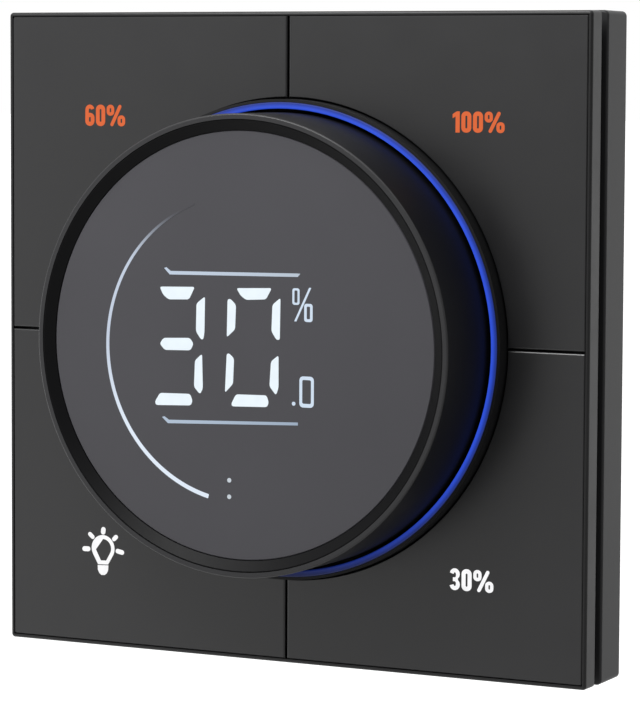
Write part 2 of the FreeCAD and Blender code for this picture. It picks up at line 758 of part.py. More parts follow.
def build_rear_frame():
    """The moulded frame: drafted walls, a deck, and the plinth that carries keys, knob and boards.

    A thin collar stands on the plinth round the light guide and keeps its light off the keys.
    """
    body = new_body("rear_frame")
    rim = sketch_on(body, "XZ_Plane", d.frame_depth)
    rectangle(rim, -frame_half_width, -frame_half_height, frame_half_width, frame_half_height)
    shell = pad(body, rim, d.frame_depth, inward=True)
    shell.setExpression("TaperAngle", (-d.frame_taper_angle).text)
    limit_x, limit_z = frame_half_width.value, frame_half_height.value
    front, slack = -SIZES["frame_depth"], SIZES["frame_wall"] / 2
    corners = fillet(body, shell, d.frame_corner,
                     lambda p: abs(p.x) > limit_x - slack and abs(p.z) > limit_z - slack)
    fillet(body, corners, d.frame_edge, lambda p: same(p.y, front))

    raised = sketch_on(body, "XZ_Plane", d.frame_depth)
    rectangle(raised, -plinth_half_width, -plinth_half_height, plinth_half_width, plinth_half_height)
    pad(body, raised, d.plinth_rise)
    collar = sketch_on(body, "XZ_Plane", plinth)
    circle(collar, NONE, NONE, collar_radius)
    circle(collar, NONE, NONE, collar_bore)
    pad(body, collar, light_front - d.collar_drop - plinth)
    back = sketch_on(body, "XZ_Plane")
    rectangle(back, -frame_inner_width, -frame_inner_height, frame_inner_width, frame_inner_height)
    pocket(body, back, deck_back, outward=True)
    deep = sketch_on(body, "XZ_Plane")
    rectangle(deep, -cavity_half_width, -cavity_half_height, cavity_half_width, cavity_half_height)
    pocket(body, deep, plinth_back, outward=True)

    # Everything that passes through the plinth's front wall
    through = sketch_on(body, "XZ_Plane", plinth)
    gap = d.hook_clearance * 2
    barb_room = d.hook_thickness + d.hook_barb + gap
    for sign_x, sign_z in SIGNS.values():
        circle(through, switch_place_x * sign_x, switch_place_z * sign_z,
               d.key_stem_radius + d.stem_clearance)
        circle(through, leg_place * sign_x, leg_place * sign_z, d.screw_radius + d.screw_clearance)
        centred(through, icon_place_x * sign_x, icon_place_z * sign_z,
                d.icon_guide_width + gap, d.icon_guide_height + gap)
        centred(through, (hook_place_x + d.hook_barb / 2) * sign_x, d.hook_across * sign_z,
                barb_room, d.hook_width + gap)
        centred(through, d.hook_across * sign_x, (hook_place_z + d.hook_barb / 2) * sign_z,
                d.hook_width + gap, barb_room)
    for x, z in trim_pin_places():
        circle(through, x, z, d.trim_pin_radius + d.trim_pin_fit)
    encoder_room = d.encoder_size + d.encoder_window_gap * 2
    centred(through, NONE, pinion_place, encoder_room, encoder_room)
    centred(through, NONE, -d.display_header_drop, d.display_header_length + d.slot_clearance * 2,
            d.display_header_width + d.slot_clearance * 2)
    pocket(body, through, d.plinth_wall)

    # Slots for the feet of the light ring, offset by half a step from the wall screws
    feet = sketch_on(body, "XZ_Plane", plinth)
    foot_x, foot_z = round_places(light_middle, SIZES["light_foot_count"], foot_angle())[0]
    turned_rectangle(feet, foot_x, foot_z, foot_angle(), d.light_ring_width,
                     d.light_foot_width + d.light_foot_gap * 2)
    round_pattern(body, pocket(body, feet, d.plinth_wall), d.light_foot_count)

    # Posts for the control board, with pilot holes from the back
    posts = sketch_on(body, "XZ_Plane", plinth_back)
    for x, z in around(post_place_x, d.post_place_z):
        circle(posts, x, z, d.post_radius)
    pad(body, posts, plinth_back - d.board_height, inward=True)
    pilots = sketch_on(body, "XZ_Plane", d.board_height)
    for x, z in around(post_place_x, d.post_place_z):
        circle(pilots, x, z, d.screw_radius)
    pocket(body, pilots, d.screw_grip - d.board_thickness, outward=True)

    # Catches inside the upper and lower walls, which snap into the strap's flanges
    catches = sketch_on(body, "XZ_Plane", d.catch_low)
    for x, z in around(d.catch_place, frame_inner_height - d.catch_depth / 2):
        centred(catches, x, z, d.catch_width, d.catch_depth)
    pad(body, catches, d.catch_height)


def foot_angle():
    """The first foot of the light ring stands half a step round from the X axis."""
    return 180.0 / SIZES["light_foot_count"]


def turned_rectangle(sketch, across, up, angle, depth, width):
    """Draws a rectangle whose depth points out from the knob's axis at an angle."""
    cosine, sine = math.cos(math.radians(angle)), math.sin(math.radians(angle))
    points = []
    for out, side in ((-1, -1), (1, -1), (1, 1), (-1, 1)):
        radial, tangent = depth / 2 * out, width / 2 * side
        points.append((across + radial * cosine - tangent * sine, up + radial * sine + tangent * cosine))
    outline(sketch, points)


def build_light_ring():
    """The light guide round the knob's foot, with feet that reach down to the ring lamps."""
    body = new_body("light_ring")
    base = sketch_on(body, "XZ_Plane", plinth)
    circle(base, NONE, NONE, light_outer)
    circle(base, NONE, NONE, light_inner)
    ring = pad(body, base, light_front - plinth)
    front = -light_front.value
    chamfer(body, ring, d.light_ring_edge, lambda p: same(p.y, front))
    feet = sketch_on(body, "XZ_Plane", plinth)
    foot_x, foot_z = round_places(light_middle, SIZES["light_foot_count"], foot_angle())[0]
    turned_rectangle(feet, foot_x, foot_z, foot_angle(), light_foot_depth, d.light_foot_width)
    round_pattern(body, pad(body, feet, d.light_foot_length, inward=True), d.light_foot_count)


def build_knob():
    """The turning sleeve, with a lip that the display housing traps, and its thrust washer."""
    sleeve = new_body("knob_ring")
    wall = turned(sleeve, [
        (knob_bore, knob_front), (d.knob_radius, knob_front), (d.knob_radius, knob_foot),
        (knob_bore, knob_foot), (knob_bore, lip_back), (lip_bore, lip_back),
        (lip_bore, lip_front), (knob_bore, lip_front)])
    front, radius = -knob_front.value, SIZES["knob_radius"]
    fillet(sleeve, wall, d.knob_edge,
           lambda p: same(p.y, front) and same(math.hypot(p.x, p.z), radius))

    washer = new_body("thrust_washer")
    flat = sketch_on(washer, "XZ_Plane", plinth)
    circle(flat, NONE, NONE, d.knob_radius - d.end_play)
    circle(flat, NONE, NONE, d.knob_radius - d.end_play - d.washer_width)
    pad(washer, flat, d.washer_thickness)


def involute_angle(radius, base):
    """The angle that an involute has turned through at a radius."""
    lean = math.acos(min(1.0, base / radius))
    return math.tan(lean) - lean


def tooth_outline(count, module, tip, root, thickness):
    """Closed outline of a gear's teeth: involute flanks between a tip and a root radius."""
    pressure = math.radians(SIZES["pressure_angle"])
    pitch = module * count / 2
    base = pitch * math.cos(pressure)
    low, high = min(tip, root), max(tip, root)
    stations = [max(low, base), (max(low, base) + pitch) / 2, (pitch + high) / 2, high]
    half = thickness / (2 * pitch) + involute_angle(pitch, base)
    flank = [(radius, half - involute_angle(radius, base)) for radius in stations]
    if low < base:
        flank.insert(0, (low, half))
    points = []
    for tooth in range(count):
        middle = 2 * math.pi * tooth / count
        sides = [(radius, -angle) for radius, angle in flank]
        sides += [(radius, angle) for radius, angle in reversed(flank)]
        points += [(radius * math.sin(middle + angle), radius * math.cos(middle + angle))
                   for radius, angle in sides]
    return points


def gear_face(points, x, z, height):
    """A flat face inside a closed outline, parallel to the wall at a height."""
    corners = [FreeCAD.Vector(x + across, -height, z + up) for across, up in points]
    return Part.Face(Part.makePolygon(corners + corners[:1]))


def tube(x, z, radius, low, high):
    """A plain cylinder out of the wall, for the gears' own cuts."""
    return Part.makeCylinder(radius, high - low, FreeCAD.Vector(x, -low, z), FreeCAD.Vector(0, -1, 0))


def build_gears():
    """The gear ring inside the knob's foot and the encoder's pinion, in mesh at the top."""
    module, backlash = gear_module.value, SIZES["gear_backlash"]
    ring_count, pinion_count = SIZES["gear_ring_count"], SIZES["pinion_count"]
    ring_pitch = module * ring_count / 2
    pinion_pitch = module * pinion_count / 2
    gap_width = math.pi * module / 2 + backlash / 2
    tooth_width = math.pi * module / 2 - backlash / 2
    low, high = knob_foot.value, gear_front.value

    # The ring's tooth spaces have the outline of a gear's teeth, cut out of a plain ring
    bore = ring_pitch - SIZES["gear_tip"] * module
    spaces = tooth_outline(ring_count, module, ring_pitch + SIZES["gear_root"] * module, bore, gap_width)
    blank = tube(0, 0, knob_bore.value, low, high).cut(tube(0, 0, bore, low, high))
    cutter = gear_face(spaces, 0, 0, low).extrude(FreeCAD.Vector(0, low - high, 0))
    ring = doc.addObject("Part::Feature", "GearRing")
    ring.Shape = blank.cut(cutter)
    keep(ring, "gear_ring")

    place = pinion_place.value
    low, high = pinion_back.value, pinion_front.value
    teeth = tooth_outline(pinion_count, module, pinion_pitch + SIZES["pinion_tip"] * module,
                          pinion_pitch - SIZES["pinion_root"] * module, tooth_width)
    solid = gear_face(teeth, 0, place, low).extrude(FreeCAD.Vector(0, low - high, 0))
    pinion = doc.addObject("Part::Feature", "Pinion")
    pinion.Shape = solid.cut(shaft_section(low, high))
    keep(pinion, "encoder_pinion")


def shaft_section(low, high):
    """The encoder shaft's round section with its flat, between two heights."""
    radius, flat = SIZES["encoder_shaft_radius"], SIZES["encoder_shaft_flat"]
    place = pinion_place.value
    corner = FreeCAD.Vector(-radius, -high, place - radius)
    away = Part.makeBox(2 * radius, high - low, flat, corner)
    return tube(0, place, radius, low, high).cut(away)


def build_encoder():
    """The encoder under the pinion: its body with a bush, and its flatted shaft."""
    base = block(NONE, pinion_place, d.encoder_size, d.encoder_size, d.board_height, encoder_front)
    bush = rod(NONE, pinion_place, d.encoder_bush_radius, encoder_front, encoder_bush_front)
    shaft_foot = encoder_bush_front - d.encoder_shaft_seat
    well = rod(NONE, pinion_place, d.encoder_shaft_radius + d.encoder_shaft_fit,
               shaft_foot - d.end_play, encoder_bush_front)
    keep(cut(fuse([base, bush]), [well]), "encoder_body")

    shaft = rod(NONE, pinion_place, d.encoder_shaft_radius, shaft_foot, pinion_front)
    flat_middle = pinion_place - d.encoder_shaft_radius + d.encoder_shaft_flat / 2
    flat = block(NONE, flat_middle, d.encoder_shaft_radius * 2, d.encoder_shaft_flat,
                 pinion_back, pinion_front)
    keep(cut(shaft, [flat]), "encoder_shaft")


def build_display():
    """The display stands still in the knob: a cup on four legs, glass, module, board and header."""
    cup = new_body("display_housing")
    bezel_front = knob_front - d.bezel_setback
    shoulder = lip_front + d.end_play
    turned(cup, [
        (NONE, floor_back), (hub_radius, floor_back), (hub_radius, shoulder), (drum_radius, shoulder),
        (drum_radius, bezel_front), (drum_radius - d.bezel_land, bezel_front),
        (pocket_radius, lens_front), (pocket_radius, lens_back), (ledge_radius, lens_back),
        (ledge_radius, floor_front), (NONE, floor_front)])
    legs = sketch_on(cup, "XZ_Plane", floor_back)
    circle(legs, leg_place, leg_place, d.leg_radius)
    round_pattern(cup, pad(cup, legs, floor_back - plinth, inward=True), d.leg_count)
    posts = sketch_on(cup, "XZ_Plane", floor_front)
    circle(posts, leg_place, leg_place, d.leg_radius)
    round_pattern(cup, pad(cup, posts, display_board_back - floor_front), d.leg_count)
    pilots = sketch_on(cup, "XZ_Plane", plinth)
    circle(pilots, leg_place, leg_place, d.screw_radius)
    depth = d.screw_grip - d.plinth_wall
    round_pattern(cup, pocket(cup, pilots, depth, outward=True), d.leg_count)
    window = sketch_on(cup, "XZ_Plane", floor_front)
    centred(window, NONE, -d.display_header_drop, d.display_header_length + d.slot_clearance * 2,
            d.display_header_width + d.slot_clearance * 2)
    pocket(cup, window, d.housing_floor)

    lens = new_body("display_lens")
    disc = sketch_on(lens, "XZ_Plane", lens_back)
    circle(disc, NONE, NONE, lens_radius)
    glass = pad(lens, disc, d.lens_thickness)
    front = -lens_front.value
    chamfer(lens, glass, d.lens_edge, lambda p: same(p.y, front))

    inside = ledge_radius - d.display_fit
    keep(rod(NONE, NONE, inside, display_back, display_back + d.display_thickness), "display_module")
    keep(rod(NONE, NONE, inside, display_board_back, display_back), "display_board")

    strip_front = d.board_height + d.display_header_height
    strip = block(NONE, -d.display_header_drop, d.display_header_length, d.display_header_width,
                  d.board_height, strip_front)
    pins = header_pins(NONE, -d.display_header_drop, "header_pin_count", strip_front, display_board_back)
    keep(fuse([strip] + pins), "display_header")
    keep(group([screw(x, z, plinth_back, d.screw_grip, True)
                for x, z in around(leg_place, leg_place)]), "display_screws")


def build_control_board():
    """The board behind the plinth with key switches, lamps and the radio module under its shield."""
    body = new_body("control_board")
    sheet_outline = sketch_on(body, "XZ_Plane", board_back)
    half_x = cavity_half_width - d.board_gap
    half_z = cavity_half_height - d.board_gap
    rectangle(sheet_outline, -half_x, -half_z, half_x, half_z)
    slab = pad(body, sheet_outline, d.board_thickness)
    limit_x, limit_z = half_x.value, half_z.value
    fillet(body, slab, d.board_corner,
           lambda p: same(abs(p.x), limit_x) and same(abs(p.z), limit_z))
    holes = sketch_on(body, "XZ_Plane", d.board_height)
    for sign in (-1, 1):
        circle(holes, wall_screw_place * sign, NONE, d.screw_access_radius)
    for x, z in around(post_place_x, d.post_place_z):
        circle(holes, x, z, d.screw_radius + d.screw_clearance)
    pocket(body, holes, d.board_thickness)

    switches = []
    flange_radius = d.plunger_radius + d.plunger_flange
    for x, z in around(switch_place_x, switch_place_z):
        can = block(x, z, d.switch_size, d.switch_size, d.board_height, switch_front)
        well = rod(x, z, flange_radius + d.plunger_fit, switch_front - d.plunger_drop,
                   switch_front - d.switch_cover)
        mouth = rod(x, z, d.plunger_radius + d.plunger_fit, switch_front - d.switch_cover, switch_front)
        switches.append(cut(can, [well, mouth]))
    keep(group(switches), "key_switches")

    keep(group([block(x, z, d.lamp_size * 2, d.lamp_size, d.board_height, lamp_front)
                for x, z in around(icon_place_x, icon_place_z)]), "icon_lamps")
    lamps = round_places(light_middle, SIZES["light_foot_count"], foot_angle())
    keep(group([block(x, z, d.lamp_size, d.lamp_size, d.board_height, lamp_front)
                for x, z in lamps]), "ring_lamps")

    radio_front = d.board_height + d.radio_board
    keep(block(NONE, -d.radio_drop, d.radio_width, d.radio_length, d.board_height, radio_front),
         "radio_module")
    keep(block(NONE, -d.radio_drop, d.radio_width - d.radio_shield_margin * 2,
               d.radio_length - d.radio_shield_margin * 2, radio_front,
               radio_front + d.radio_shield_height), "radio_shield")
    keep(group([screw(x, z, board_back, d.screw_grip, True)
                for x, z in around(post_place_x, d.post_place_z)]), "board_screws")


def build_strap():
    """The steel strap: two wall screw slots, an opening for the housing and folded flanges."""
    body = new_body("mounting_strap")
    outer = frame_inner_height - d.strap_gap
    rise = d.strap_flange
    section = sketch_on(body, "YZ_Plane")
    outline(section, [
        (NONE, -outer), (NONE, outer), (-rise, outer), (-rise, outer - d.strap_thickness),
        (-d.strap_thickness, outer - d.strap_thickness), (-d.strap_thickness, d.strap_thickness - outer),
        (-rise, d.strap_thickness - outer), (-rise, -outer)])
    channel = pad(body, section, (frame_inner_width - d.strap_side_gap) * 2)
    channel.SideType = "Symmetric"
    fold = outer.value
    fillet(body, channel, d.strap_bend, lambda p: same(p.y, 0) and same(abs(p.z), fold))

    holes = sketch_on(body, "XZ_Plane", d.strap_thickness)
    for sign in (-1, 1):
        slot(holes, wall_screw_place * sign, NONE, d.wall_slot_width, d.wall_slot_length)
    opening = (boss_place - d.strap_land) * 2
    centred(holes, NONE, NONE, opening, opening)
    for x, z in around(boss_place, boss_place):
        circle(holes, x, z, d.screw_radius + d.screw_clearance)
    pocket(body, holes, d.strap_thickness)

    # Windows in the flanges for the frame's catches
    windows = sketch_on(body, "XY_Plane")
    low = d.catch_low - d.catch_clearance
    high = d.catch_low + d.catch_height + d.catch_clearance
    half = d.catch_width / 2 + d.catch_clearance
    for sign in (-1, 1):
        middle = d.catch_place * sign
        rectangle(windows, middle - half, -high, middle + half, -low)
    through = pocket(body, windows, d.panel_height)
    through.SideType = "Symmetric"


def build_housing():
    """The box in the wall: walls with vents, screw bosses, board seats, its cover and screws."""
    body = new_body("back_housing")
    half = d.housing_size / 2
    base = sketch_on(body, "XZ_Plane")
    rectangle(base, -half, -half, half, half)
    solid = pad(body, base, d.housing_back, inward=True)
    limit, rear = half.value, SIZES["housing_back"]
    corners = fillet(body, solid, d.housing_corner,
                     lambda p: same(abs(p.x), limit) and same(abs(p.z), limit))
    fillet(body, corners, d.housing_rear_edge, lambda p: same(p.y, rear))
    inside = sketch_on(body, "XZ_Plane")
    rectangle(inside, -cavity_half, -cavity_half, cavity_half, cavity_half)
    pocket(body, inside, d.housing_back - d.housing_wall)

    bosses = sketch_on(body, "XZ_Plane", -d.cover_thickness)
    for x, z in around(boss_place, boss_place):
        circle(bosses, x, z, d.boss_radius)
    pad(body, bosses, -d.cover_thickness - housing_inside, inward=True)
    pilots = sketch_on(body, "XZ_Plane", -d.cover_thickness)
    for x, z in around(boss_place, boss_place):
        circle(pilots, x, z, d.screw_radius)
    pocket(body, pilots, d.screw_grip * 2)
    seats = sketch_on(body, "XZ_Plane", power_back)
    for x, z in around(cavity_half - d.board_seat_depth / 2, d.board_seat_place):
        centred(seats, x, z, d.board_seat_depth, d.board_seat_width)
    pad(body, seats, power_back - housing_inside, inward=True)

    # Rear cut-out for the terminal block and one entry below each terminal
    width = d.terminal_pitch * d.terminal_count + d.terminal_wall
    window = sketch_on(body, "XZ_Plane", housing_inside)
    rectangle(window, -width / 2 - d.cover_fit, terminal_foot - d.cover_fit / 2,
              width / 2 + d.cover_fit, terminal_foot + d.terminal_height + d.cover_fit)
    pocket(body, window, d.housing_wall)
    entries = sketch_on(body, "XY_Plane", -cavity_half + d.cover_fit)
    for x in terminal_places():
        centred(entries, x, -wire_middle, d.wire_width, d.wire_height)
    pocket(body, entries, d.housing_wall * 2)

    # Vent slots through both side walls
    vents = sketch_on(body, "YZ_Plane")
    for index in range(SIZES["vent_count"]):
        centred(vents, d.vent_start + d.vent_pitch * index, NONE, d.vent_height, d.vent_width)
    slots = pocket(body, vents, d.housing_size * 2)
    slots.SideType = "Symmetric"

    cover = new_body("housing_cover")
    lid = sketch_on(cover, "XZ_Plane")
    reach = cavity_half - d.cover_fit
    rectangle(lid, -reach, -reach, reach, reach)
    sheet_solid = pad(cover, lid, d.cover_thickness, inward=True)
    edge = reach.value
    fillet(cover, sheet_solid, d.housing_corner - d.housing_wall,
           lambda p: same(abs(p.x), edge) and same(abs(p.z), edge))
    openings = sketch_on(cover, "XZ_Plane")
    centred(openings, NONE, -d.link_drop, d.header_pitch * d.link_pin_count + d.slot_clearance * 2,
            d.link_strip_width + d.slot_clearance * 2)
    for x, z in around(boss_place, boss_place):
        circle(openings, x, z, d.screw_radius + d.screw_clearance)
    pocket(cover, openings, d.cover_thickness)
    grip = d.strap_thickness + d.cover_thickness + d.screw_grip
    keep(group([screw(x, z, d.strap_thickness, grip, False)
                for x, z in around(boss_place, boss_place)]), "housing_screws")


def terminal_places():
    """The X places of the terminals, evenly spaced about the middle."""
    middle = (SIZES["terminal_count"] - 1) / 2
    return [d.terminal_pitch * (index - middle) for index in range(SIZES["terminal_count"])]


def build_power_board():
    """The mains board, its link to the control board, and the parts that stand on it."""
    body = new_body("power_board")
    half = cavity_half - d.power_board_fit
    base = sketch_on(body, "XZ_Plane", power_back)
    rectangle(base, -half, -half, half, half)
    pad(body, base, d.power_board_thickness)
    notches = sketch_on(body, "XZ_Plane", power_front)
    near = boss_place - d.boss_radius - d.power_board_fit
    for sign_x, sign_z in SIGNS.values():
        rectangle(notches, near * sign_x, near * sign_z, d.housing_size / 2 * sign_x,
                  d.housing_size / 2 * sign_z)
    pocket(body, notches, d.power_board_thickness)

    strip_length = d.header_pitch * d.link_pin_count
    strip = block(NONE, -d.link_drop, strip_length, d.link_strip_width,
                  board_back - d.link_strip_height, board_back)
    pins = header_pins(NONE, -d.link_drop, "link_pin_count",
                       board_back - d.link_pin_reach + d.link_strip_height, board_back)
    keep(fuse([strip] + pins), "link_header")
    socket_front = power_front + d.link_socket_height
    shell = block(NONE, -d.link_drop, strip_length, d.link_strip_width, power_front, socket_front)
    middle = (SIZES["link_pin_count"] - 1) / 2
    hole = d.header_pin + d.link_pin_fit * 2
    holes = [block(d.header_pitch * (index - middle), -d.link_drop, hole, hole,
                   power_front + d.terminal_wall, socket_front)
             for index in range(SIZES["link_pin_count"])]
    keep(cut(shell, holes), "link_socket")
    keep(rod(d.fuse_inset_x - cavity_half, cavity_half - d.fuse_inset_z, d.fuse_radius, power_front,
             power_front + d.fuse_height), "fuse")


def build_terminals():
    """The terminal block at the rear, its clamp cages and their screws."""
    width = d.terminal_pitch * d.terminal_count + d.terminal_wall
    blank = block(NONE, terminal_middle, width, d.terminal_height, terminal_end, power_back)
    well_width = d.terminal_pitch - d.terminal_wall
    well_height = d.terminal_height - d.terminal_wall * 3
    entry_middle = terminal_foot + d.terminal_wall
    wells, cages, screws = [], [], []
    cage_width = well_width - d.clamp_fit * 2
    cage_height = well_height - d.clamp_fit * 2
    for x in terminal_places():
        wells.append(block(x, terminal_middle, well_width, well_height, terminal_end, clamp_back))
        wells.append(block(x, entry_middle, d.wire_width, d.terminal_wall * 4,
                           wire_middle - d.wire_height / 2, wire_middle + d.wire_height / 2))
        cage = block(x, terminal_middle, cage_width, cage_height, clamp_front, clamp_back)
        tunnel = block(x, terminal_middle, d.wire_width, d.terminal_height,
                       wire_middle - d.wire_height / 2, wire_middle + d.wire_height / 2)
        thread = rod(x, terminal_middle, d.terminal_screw_radius, clamp_front,
                     wire_middle - d.wire_height / 2)
        cages.append(cut(cage, [tunnel, thread]))
        shank = rod(x, terminal_middle, d.terminal_screw_radius, clamp_front, wire_middle)
        crown = clamp_front - d.terminal_head_height
        head = rod(x, terminal_middle, d.terminal_head_radius, crown, clamp_front)
        drive = block(x, terminal_middle, d.terminal_head_radius * 2, d.screw_slot * 2,
                      crown, crown + d.screw_slot * 2)
        screws.append(fuse([shank, cut(head, [drive])]))
    keep(cut(blank, wells), "terminal_block")
    keep(group(cages), "terminal_clamps")
    keep(group(screws), "terminal_screws")


def build_power_parts():
    """What stands on the back of the power board: triac on its heat plate, coils and capacitors."""
    plate_z = cavity_half - d.cover_fit - d.heat_plate_thickness / 2
    plate_end = power_back - d.heat_plate_height
    plate_width = (boss_place - d.boss_radius - d.heat_plate_gap) * 2
    keep(block(NONE, plate_z, plate_width, d.heat_plate_thickness, plate_end, power_back), "heat_plate")
    tab_z = plate_z - d.heat_plate_thickness / 2 - d.triac_tab / 2
    foot = power_back - d.triac_stand
    tab = block(NONE, tab_z, d.triac_width, d.triac_tab, foot - d.triac_tab_height, foot)
    case_z = tab_z - d.triac_depth / 2
    case = block(NONE, case_z, d.triac_width, d.triac_depth - d.triac_tab, foot - d.triac_height, foot)
    leads = [block(d.header_pitch * side, case_z, d.triac_lead, d.triac_lead, foot, power_back)
             for side in (-1, 0, 1)]
    keep(fuse([tab, case] + leads), "triac")

    x, z = d.core_place_x, d.core_place_z
    core_back = power_back - d.core_height
    core_middle = power_back - d.core_height / 2
    core = block(x, z, d.core_width, d.core_depth, core_back, power_back)
    window_low = core_middle - d.core_window_height / 2
    window_high = core_middle + d.core_window_height / 2
    step = d.core_leg / 2 + d.core_window / 2
    windows = [block(x + step * side, z, d.core_window, d.core_depth * 2, window_low, window_high)
               for side in (-1, 1)]
    keep(cut(core, windows), "transformer_core")
    spool_width = d.core_leg + (d.core_window - d.bobbin_play) * 2
    spool = block(x, z, spool_width, d.core_depth + d.bobbin_overhang * 2,
                  window_low + d.bobbin_play, window_high - d.bobbin_play)
    bore = block(x, z, d.core_leg, d.core_depth, window_low, window_high)
    keep(cut(spool, [bore]), "transformer_bobbin")

    build_choke()

    x, z = d.bulk_inset_x - cavity_half, cavity_half - d.bulk_inset_z
    can = rod(x, z, d.bulk_radius, power_back - d.bulk_height, power_back)
    waist_high = power_back - d.bulk_groove * 4
    waist_low = waist_high - d.bulk_groove * 2
    waist = cut(rod(x, z, d.bulk_radius + d.bulk_groove, waist_low, waist_high),
                [rod(x, z, d.bulk_radius - d.bulk_groove, waist_low, waist_high)])
    keep(cut(can, [waist]), "bulk_capacitor")
    film = new_body("film_capacitor")
    case = sketch_on(film, "XZ_Plane", power_back)
    centred(case, cavity_half - d.film_inset_x, cavity_half - d.film_inset_z, d.film_width, d.film_depth)
    box = pad(film, case, d.film_height, inward=True)
    end = (d.film_height - power_back).value
    chamfer(film, box, d.film_edge, lambda p: same(p.y, end))


def build_choke():
    """A ring core that lies on the board, taped and wound with evenly spaced turns of wire."""
    x, z = d.choke_place_x, d.choke_place_z
    wrap = d.choke_tape + d.choke_wire
    top = power_back - wrap
    foot = top - d.choke_height
    core = new_body("choke_core")
    ring = sketch_on(core, "XZ_Plane", foot)
    circle(ring, NONE, NONE, d.choke_outer_radius)
    circle(ring, NONE, NONE, d.choke_inner_radius)
    pad(core, ring, d.choke_height)

    winding = new_body("choke_winding")
    tape = d.choke_tape
    inner, outer = d.choke_inner_radius, d.choke_outer_radius
    section = sketch_on(winding, "XY_Plane")
    outline(section, [(inner - tape, -top - tape), (outer + tape, -top - tape),
                      (outer + tape, -foot + tape), (inner - tape, -foot + tape)])
    outline(section, [(inner, -top), (outer, -top), (outer, -foot), (inner, -foot)])
    sleeve = winding.newObject("PartDesign::Revolution", "Revolution")
    sleeve.Profile = section
    sleeve.ReferenceAxis = (section, ["V_Axis"])
    sleeve.Angle = 360
    turn = sketch_on(winding, "XY_Plane")
    rectangle(turn, inner - wrap, -top - wrap, outer + wrap, -foot + wrap)
    rectangle(turn, inner - tape / 2, -top - tape / 2, outer + tape / 2, -foot + tape / 2)
    loop = pad(winding, turn, d.choke_wire)
    loop.SideType = "Symmetric"
    round_pattern(winding, loop, d.choke_turn_count)
    for body in (core, winding):
        body.setExpression("Placement.Base.x", x.text)
        body.setExpression("Placement.Base.z", z.text)


def check_document():
    """Stops if any object failed or any sub-part's shape is missing or unsound."""
    doc.recompute()
    failed = [obj.Label for obj in doc.Objects if {"Invalid", "Error"} & set(obj.State)]
    if failed:
        raise RuntimeError(f"failed objects: {failed}")
    for obj in nodes:
        if obj.Shape.isNull() or not obj.Shape.isValid() or not obj.Shape.Solids:
            raise RuntimeError(f"unsound shape: {obj.Label}")


def write_parts():
    """Writes each sub-part to a file of its own name."""
    os.makedirs("parts", exist_ok=True)
    for obj in nodes:
        obj.Shape.exportStep(f"parts/{obj.Label}.step")


build_keys()
build_key_fittings()
build_trim_frame()
build_rear_frame()
build_light_ring()
build_knob()
build_gears()
build_encoder()
build_display()
build_control_board()
build_strap()
build_housing()
build_power_board()
build_terminals()
build_power_parts()
check_document()
write_parts()
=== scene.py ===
"""Looks of a smart dimmer switch: its finishes, lit display, lit key marks, studio and camera.

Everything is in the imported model's own frame: metres, X right as seen from the front, Y into the
wall and Z up. The classes hold their sizes in millimetres, as they are measured on the object.
"""

import logging
import math
from abc import ABC, abstractmethod
from collections.abc import Sequence
from dataclasses import dataclass
from enum import Enum

import bpy
from mathutils import Matrix, Vector


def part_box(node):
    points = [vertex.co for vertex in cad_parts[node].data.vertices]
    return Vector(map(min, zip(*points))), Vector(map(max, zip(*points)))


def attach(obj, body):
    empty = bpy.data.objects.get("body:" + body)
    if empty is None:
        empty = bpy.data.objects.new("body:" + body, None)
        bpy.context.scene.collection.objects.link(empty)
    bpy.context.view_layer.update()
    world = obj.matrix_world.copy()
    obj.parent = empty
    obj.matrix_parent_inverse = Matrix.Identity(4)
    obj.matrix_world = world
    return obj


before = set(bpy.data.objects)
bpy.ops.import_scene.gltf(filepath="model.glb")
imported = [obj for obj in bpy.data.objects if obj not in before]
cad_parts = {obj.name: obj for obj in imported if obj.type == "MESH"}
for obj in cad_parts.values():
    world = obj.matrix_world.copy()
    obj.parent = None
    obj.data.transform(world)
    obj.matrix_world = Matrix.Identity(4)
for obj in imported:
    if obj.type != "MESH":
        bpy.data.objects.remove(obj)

LOG = logging.getLogger("dimmer")
MM = 0.001
Socket = bpy.types.NodeSocket
Colour = tuple[float, float, float]
Direction = tuple[float, float, float]
Span = tuple[float, float]
Point = tuple[float, float]
Outline = Sequence[Point]
Box = tuple[float, float, float, float]
Plate = tuple[float, float, float, float, float]
Dot = tuple[float, float, float]
RIGHT: Direction = (1.0, 0.0, 0.0)
INWARD: Direction = (0.0, 1.0, 0.0)
OUTWARD: Direction = (0.0, -1.0, 0.0)
UP: Direction = (0.0, 0.0, 1.0)


class Grain(Enum):
    """How a mould leaves a surface, at the scale of a fingertip."""

    SPARKED = (0.22, 0.006, 0.6)
    SATIN = (0.12, 0.002, 0.5)
    POLISHED = (3.0, 0.002, 0.3)

    def __init__(self, size: float, depth: float, strength: float) -> None:
        """Names the sizes of the texture.

        Args:
            size: Width of its features in millimetres.
            depth: Their height in millimetres.
            strength: How much of it shows.
        """
        self.size = size
        self.depth = depth
        self.strength = strength


